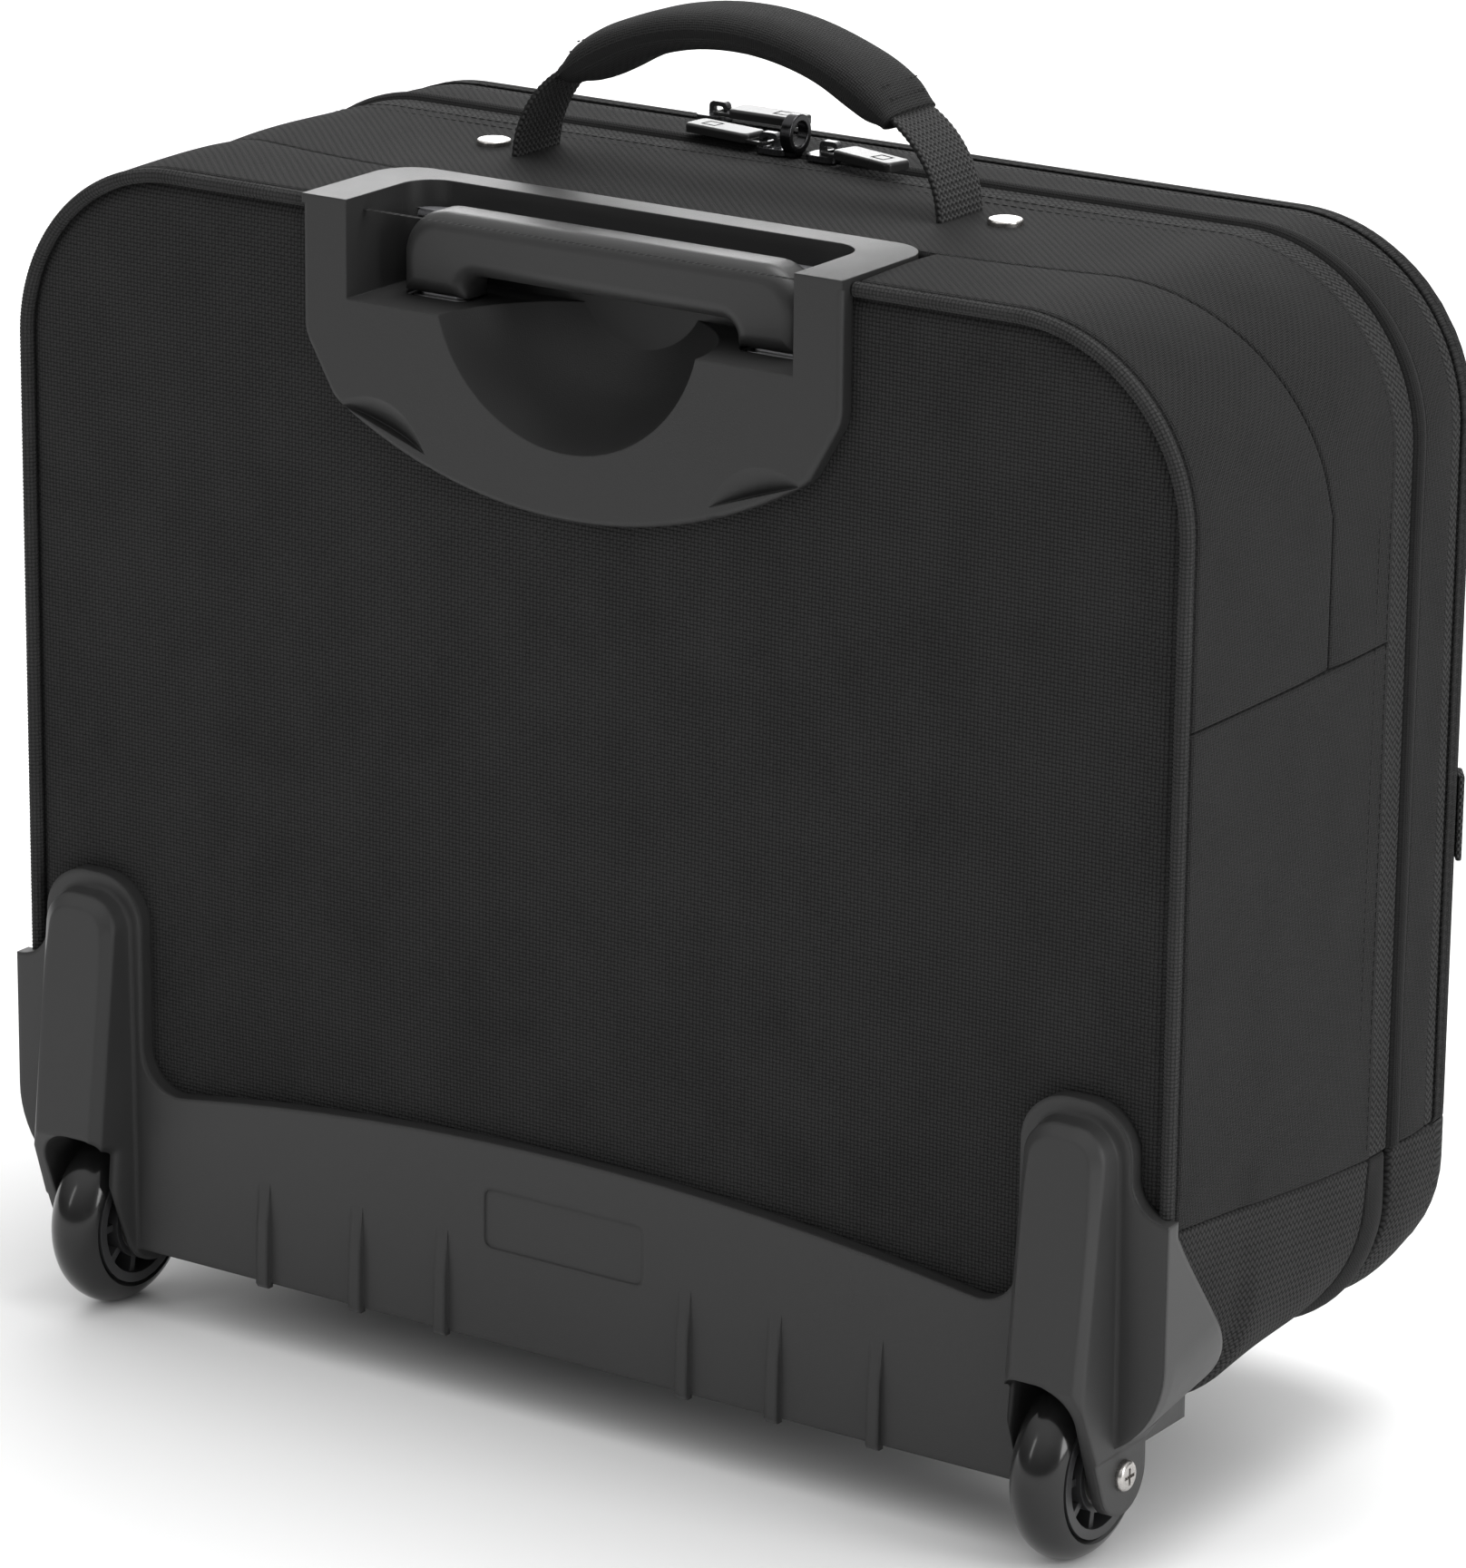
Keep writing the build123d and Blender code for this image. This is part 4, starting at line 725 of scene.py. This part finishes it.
def build_gusset():
    def lower_side(mirrored, side):
        s = on_side(S_HINGE, S_SEAM, mirrored)
        piece = hoop(f"side_panel_{side}", s, REAR_EDGE, CASE_TAPE - 1 * MM, TWILL, edge=(2.0, 0.6),
                     puff=0.8, unevenness=0.45, columns=22, slanted=True)
        settle(piece, "case", "gusset_fabric", "gusset")

    def rear_top(mirrored, side):
        s = on_side(S_SEAM, S_HOUSING, mirrored, 3.0)
        piece = hoop(f"rear_gusset_{side}", s, REAR_EDGE, rising_seam, TWILL, edge=(2.0, 1.4),
                     puff=0.9, unevenness=0.35, columns=14)
        settle(piece, "case", "gusset_fabric")

    sides_and(lower_side)
    sides_and(rear_top)
    s = spread(S_SEAM, AROUND - S_SEAM, 3 * MM)
    piece = hoop("front_gusset", s, rising_seam, CASE_TAPE - 1 * MM, TWILL, edge=(1.4, 0.6),
                 puff=0.6, unevenness=0.35, columns=14)
    settle(piece, "case", "gusset_fabric")

    well_in, well_out, well_front, well_top = 169.0 * MM, 204.5 * MM, 38 * MM, 72 * MM

    def clear_of_wells(x, y, z):
        in_x = (np.abs(x) > well_in) & (np.abs(x) < well_out)
        return ~(in_x & (y > well_front) & (z < well_top))

    def front_line(s):
        near = abs(s)
        bottom = np.clip((S_HINGE - near) / (S_HINGE - s_at(LOW + 6 * MM)), 0, 1)
        return CASE_TAPE - 1 * MM + 9 * MM * bottom

    s = spread(-S_HINGE, S_HINGE, 4 * MM)
    piece = hoop("coarse_bottom", s, REAR_EDGE, front_line, COARSE, edge=(2.0, 1.6), unevenness=0.2,
                 columns=26, sag=5.0, slanted=True, keep=clear_of_wells)
    settle(piece, "case", "coarse_fabric", "bottom_panel")
    piece = hoop("bottom_strip", s, front_line, ZIP + 1.6 * MM, PLAIN_CLOTH, edge=(0.6, 1.2), unevenness=0.1,
                 columns=6, sag=3.0)
    settle(piece, "case", "coarse_fabric")


def build_back():
    def back_y(distance, x, z):
        dip = 2.2 * MM * np.exp(-((distance / (3.0 * MM)) ** 2))
        swell = 1.1 * MM * (1 - np.exp(-distance / (40 * MM)))
        uneven = waves(x, 0, z, 0.22 * MM) * np.clip(distance / (30 * MM), 0, 1)
        return BACK - 0.7 * MM - dip + swell + uneven

    def keep(x, y, z):
        behind_housing = (np.abs(x) < HOUSING_HALF - 12 * MM) & (z > HOUSING_LOW.z + 34 * MM)
        behind_housing |= np.hypot(x, z - HOUSING_HIGH.z + 19 * MM) < 54 * MM  # the finger scoop
        behind_wheels = (np.abs(x) > 168 * MM) & (np.abs(x) < 205 * MM) & (z < 70 * MM)
        return ~(behind_housing | behind_wheels)

    inset = 3.2 * MM
    piece = face("back_cloth", back_y, inset, LOW + inset, TOP - inset, PANEL, keep=keep)
    settle(piece, "case", "back_fabric", "back_panel")


def build_piping():
    wing_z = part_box("kick_plate")[1].z - 36 * MM
    start, end = s_at(wing_z), S_HOUSING - 0.3 * MM
    pitch, inset, size = 1.25 * MM, 2.1 * MM, 4.6 * MM

    def run(mirrored, side):
        s = np.arange(start, end, pitch / 4)
        s = AROUND - s if mirrored else s
        at, out = outline(s)
        x, z = (at - out * inset).T
        path = np.stack([x, np.full(len(s), BACK - 0.4 * MM), z], -1)
        side_way = np.stack([out[:, 0], 0 * s, out[:, 1]], -1)
        up = np.tile([0.0, 1.0, 0.0], (len(s), 1))
        rib = 1 + 0.05 * np.sin(2 * math.pi * s / pitch)
        piece = sweep(f"piping_{side}", path, side_way, up, tube_ring(size, size, 14), PIPING,
                      np.stack([rib, rib], -1))
        settle(piece, "case", "piping", "back_piping")
        along = np.clip(np.sort(s)[::3], 0, AROUND)
        flange = hoop(f"piping_flange_{side}", along, BACK - 0.3 * MM, REAR_EDGE - 0.4 * MM, PIPING,
                      edge=(0.5, 1.2), sink=0.5, unevenness=0.0, columns=2, thick=1.5)
        settle(flange, "case", "piping")

    sides_and(run)


def upper_path(y, lift):
    """A line over the sides and top at y, with its normals."""
    s = np.arange(S_HINGE + 2 * MM, AROUND - S_HINGE - 2 * MM, 1.5 * MM)
    at, out = outline(s)
    path = np.stack([at[:, 0] + out[:, 0] * lift, np.full(len(s), y), at[:, 1] + out[:, 1] * lift], -1)
    return path, np.stack([out[:, 0], 0 * s, out[:, 1]], -1)


def build_zippers():
    s = spread(S_HINGE, AROUND - S_HINGE, 4 * MM)
    case_side = hoop("main_tape_case", s, CASE_TAPE - 0.5 * MM, ZIP + 0.25 * MM, TAPE, edge=(0.4, 0.9),
                     sink=0.35, unevenness=0.15, columns=6, thick=1.0)
    settle(case_side, "case", "zip_tape", "main_zip_case")
    front_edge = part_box("main_zip_front")[0].y
    front_side = hoop("main_tape_front", s, ZIP - 0.25 * MM, front_edge, PLAIN_CLOTH, edge=(1.2, 1.4),
                      puff=1.6, unevenness=0.15, columns=6, thick=1.4)
    settle(front_side, "organiser", "zip_tape", "main_zip_front")
    section_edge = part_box("flap_zip_section")[1].y
    section = hoop("flap_tape_section", s, section_edge, FLAP_ZIP + 0.2 * MM, TAPE, edge=(0.4, 0.8), sink=0.3,
                   unevenness=0.1, columns=4, thick=1.0)
    settle(section, "organiser", "zip_tape", "flap_zip_section")
    flap_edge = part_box("flap_zip_flap")[0].y
    flap_side = hoop("flap_tape_flap", s, FLAP_ZIP - 0.2 * MM, flap_edge, TAPE, edge=(0.8, 0.4), sink=0.3,
                     unevenness=0.1, columns=4, thick=1.0)
    settle(flap_side, "flap", "zip_tape", "flap_zip_flap")
    for index, y in enumerate((CASE_TAPE + 8.5 * MM, CASE_TAPE + 1.6 * MM)):
        path, out = upper_path(y, 0.15 * MM)
        stitches(f"zip_stitches_{index}", path, out, "case")


# ---- Front organiser section ----
def build_front():
    s = spread(S_HINGE, AROUND - S_HINGE, 4 * MM)
    low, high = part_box("organiser_gusset")
    gusset = hoop("organiser_side", s, high.y, low.y, TWILL, edge=(1.4, 0.8), puff=0.3, unevenness=0.3,
                  columns=10)
    settle(gusset, "organiser", "gusset_fabric", "organiser_gusset")

    def front_y(distance, x, z):
        rounded = np.clip(1 - distance / EDGE_R, 0, 1)
        y = FRONT + EDGE_R * (1 - np.sqrt(np.clip(1 - rounded**2, 0, 1)))
        swell = 1.6 * MM * (1 - np.exp(-np.clip(distance - EDGE_R, 0, None) / (60 * MM)))
        seam = 1.4 * MM * np.exp(-(((z - HINGE_Z) / (1.2 * MM)) ** 2))
        return y - swell + seam + waves(x, 0, z, 0.3 * MM) * np.clip(distance / (40 * MM), 0, 1)

    flap = face("flap_cloth", front_y, 0.0, HINGE_Z + 0.3 * MM, TOP, TWILL, forward=True)
    settle(flap, "flap", "gusset_fabric", "flap_panel")
    rim_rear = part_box("flap_zip_flap")[0].y
    rim = hoop("flap_rim", s, rim_rear, FRONT + EDGE_R - 0.4 * MM, TWILL, edge=(0.9, 0.1), unevenness=0.0,
               columns=2)
    settle(rim, "flap", "gusset_fabric")
    tray = face("tray_cloth", front_y, 0.0, LOW, HINGE_Z - 0.3 * MM, COARSE, forward=True)
    settle(tray, "organiser", "coarse_fabric", "organiser_tray")
    s = spread(-S_HINGE, S_HINGE, 4 * MM)
    under = hoop("tray_bottom", s, ZIP - 1.6 * MM, FRONT + EDGE_R - 0.5 * MM, COARSE, edge=(1.6, 0.1),
                 unevenness=0.1, columns=12, sag=2.5)
    settle(under, "organiser", "coarse_fabric")

    height, y = 7 * MM, FRONT + 0.2 * MM
    width = half_width(np.array([HINGE_Z]), 26 * MM)[0]
    x, z = np.meshgrid(np.linspace(-width, width, 40), HINGE_Z + np.linspace(-height / 2, height / 2, 9))
    outer = np.stack([x, np.full_like(x, y), z], -1)
    strip = shell("flap_hinge_strip", outer, outer + np.array([0, 0.8 * MM, 0]), outer[..., [0, 2]], TWILL)
    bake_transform(strip)


def build_hinge_strip():
    """Cloth under the case that joins it to the front section."""
    width, reach, low = HALF - LOW_R, 6 * MM, LOW + 0.3 * MM
    x, y = np.meshgrid(np.linspace(-width, width, 40), np.linspace(ZIP + reach, ZIP - reach, 9))
    outer = np.stack([x, y, np.full_like(x, low)], -1)
    inner = outer + np.array([0, 0, 0.8 * MM])
    strip = shell("bottom_hinge_strip", outer, inner, outer[..., :2], COARSE)
    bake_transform(strip)


# ---- Inside ----
def build_inside():
    low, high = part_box("lining")
    inset = HALF - high.x
    s = np.linspace(0.5 * MM, AROUND - 0.5 * MM, 330)
    wall = hoop("lining_wall", s, high.y, low.y, LINING_CLOTH, edge=(2.0, 0.5), sink=inset / MM + 0.4,
                columns=14, thick=0.8, ends=(0.1, 0.1))
    settle(wall, "case", "lining")

    def false_back(distance, x, z):
        return high.y - 0.6 * MM + waves(x, 0, z, 0.25 * MM)

    def clear_of_hood(x, y, z):
        return ~((np.abs(x) < 84 * MM) & (z > 322 * MM))

    back = face("lining_back", false_back, inset + 0.4 * MM, LOW + inset + 0.4 * MM, TOP - inset - 0.4 * MM,
                LINING_CLOTH, thick=0.8, forward=True, step=8.0, keep=clear_of_hood)
    settle(back, "case", "lining")
    hood = softened("lining_hood", "lining", LINING_CLOTH, None, crop_z=300 * MM)
    settle(hood, "case", "lining", "lining")
    sleeve = softened("sleeve_padding", "laptop_sleeve", SLEEVE_CLOTH, 3.0)
    settle(sleeve, "case", "pad_fabric", "laptop_sleeve")

    panel_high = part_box("organiser_back")[1]

    def inner_panel(distance, x, z):
        dip = 0.6 * MM * np.exp(-distance / (4 * MM))
        return panel_high.y - 0.2 * MM - dip + waves(x, 0, z, 0.08 * MM)

    inset = HALF - panel_high.x
    rear_skin = face("organiser_panel", inner_panel, inset, LOW + inset, TOP - inset, LINING_CLOTH, thick=2.2,
                     step=8.0)
    settle(rear_skin, "organiser", "lining", "organiser_back")
    pockets = softened("pocket_cloth", "organiser_pockets", SLEEVE_CLOTH, 1.1)
    settle(pockets, "organiser", "lining", "organiser_pockets")


# ---- Carry handle ----
def arc_through(a, b, c, count):
    """Points on the arc through three points in the x, z plane."""
    (ax, az), (bx, bz), (cx, cz) = a, b, c
    d = 2 * (ax * (bz - cz) + bx * (cz - az) + cx * (az - bz))
    ux = ((ax**2 + az**2) * (bz - cz) + (bx**2 + bz**2) * (cz - az) + (cx**2 + cz**2) * (az - bz)) / d
    uz = ((ax**2 + az**2) * (cx - bx) + (bx**2 + bz**2) * (ax - cx) + (cx**2 + cz**2) * (bx - ax)) / d
    radius = math.hypot(ax - ux, az - uz)
    first, mid, last = (math.atan2(z - uz, x - ux) for x, z in (a, b, c))
    first, last = (mid + (t - mid + math.pi) % (2 * math.pi) - math.pi for t in (first, last))
    angle = np.linspace(first, last, count)
    return np.stack([ux + radius * np.cos(angle), uz + radius * np.sin(angle)], -1)


def build_webbing():
    for name, node, body, voxel in (
        ("anchor_webbing", "handle_anchors", "case", 0.7),
        ("sleeve_webbing", "sleeve_strap", "case", 0.8),
        ("tab_webbing", "side_tab", "flap", 0.45),
    ):
        settle(softened(name, node, WEBBING, voxel), body, "webbing", node)


def build_handle():
    web_low, web_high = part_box("carry_webbing")
    y_mid = (web_low.y + web_high.y) / 2
    arc_half, arc_end_z = 61 * MM, TOP + 29.5 * MM
    crown_z = web_high.z - 1.1 * MM
    foot_x, foot_z = 80 * MM, TOP - 1.5 * MM
    crown = arc_through((-arc_half, arc_end_z), (0, crown_z), (arc_half, arc_end_z), 90)

    def frame_along(points):
        ahead = np.gradient(points, axis=0)
        ahead /= np.linalg.norm(ahead, axis=1, keepdims=True)
        path = np.stack([points[:, 0], np.full(len(points), y_mid), points[:, 1]], -1)
        side = np.tile([0.0, 1.0, 0.0], (len(points), 1))
        up = np.stack([-ahead[:, 1], 0 * ahead[:, 0], ahead[:, 0]], -1)
        return path, side, up

    for side_name, sign in (("left", 1), ("right", -1)):
        strap = arc_through(
            (sign * foot_x, foot_z),
            (sign * (arc_half + 15 * MM), TOP + 15 * MM),
            (sign * (arc_half - 4 * MM), arc_end_z + 3 * MM),
            120,
        )
        path, side, up = frame_along(strap)
        run = run_along(path)
        rib = 1 + 0.16 * np.sin(2 * math.pi * run / WEBBING_PITCH)
        width = 1 - 0.05 * np.exp(-(((run - run[-1]) / (12 * MM)) ** 2))
        ring = tube_ring(25 * MM, 2.3 * MM, 20, 6.0)
        piece = sweep(f"strap_{side_name}", path, side, up, ring, WEBBING, np.stack([width, rib], -1))
        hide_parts("carry_webbing")
        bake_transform(piece)

    path, side, up = frame_along(crown)
    run = run_along(path)
    end = np.minimum(run, run[-1] - run)
    pinch = 0.42 * np.exp(-((end / (5 * MM)) ** 2))
    swell = 1 - pinch + 0.10 * np.exp(-(((end - 17 * MM) / (9 * MM)) ** 2))
    width = 1 - 0.05 * np.exp(-((end / (6 * MM)) ** 2)) - 0.03 * np.sin(run / run[-1] * math.pi)
    height = 14 * MM
    ring = tube_ring(30 * MM, height, 28, 2.7)
    ring[:, 1] = np.where(ring[:, 1] < 0, ring[:, 1] * 1.1, ring[:, 1] * 0.9)
    grip = sweep("grip_padding", path, side, up, ring, GRIP_TWILL, np.stack([width, swell], -1))
    settle(grip, "carry_handle", "pad_fabric", "carry_grip")
    for index, from_end in enumerate((5 * MM, 9 * MM)):
        for side_name, sign in (("left", 1), ("right", -1)):
            k = int(np.argmin(np.abs(run - (from_end if sign < 0 else run[-1] - from_end))))
            across = np.linspace(-11.5 * MM, 11.5 * MM, 30)
            top = path[k] + up[k] * (0.9 * height / 2 * swell[k] - 0.15 * MM)
            line = top[None, :] + across[:, None] * side[k][None, :]
            stitches(f"grip_stitches_{side_name}_{index}", line, np.tile(up[k], (30, 1)), "carry_handle",
                     2.6, 1.9)


add_camera()
add_studio()
paint_cad()
build_back()
build_piping()
build_gusset()
build_zippers()
build_front()
build_hinge_strip()
build_inside()
build_webbing()
build_handle()
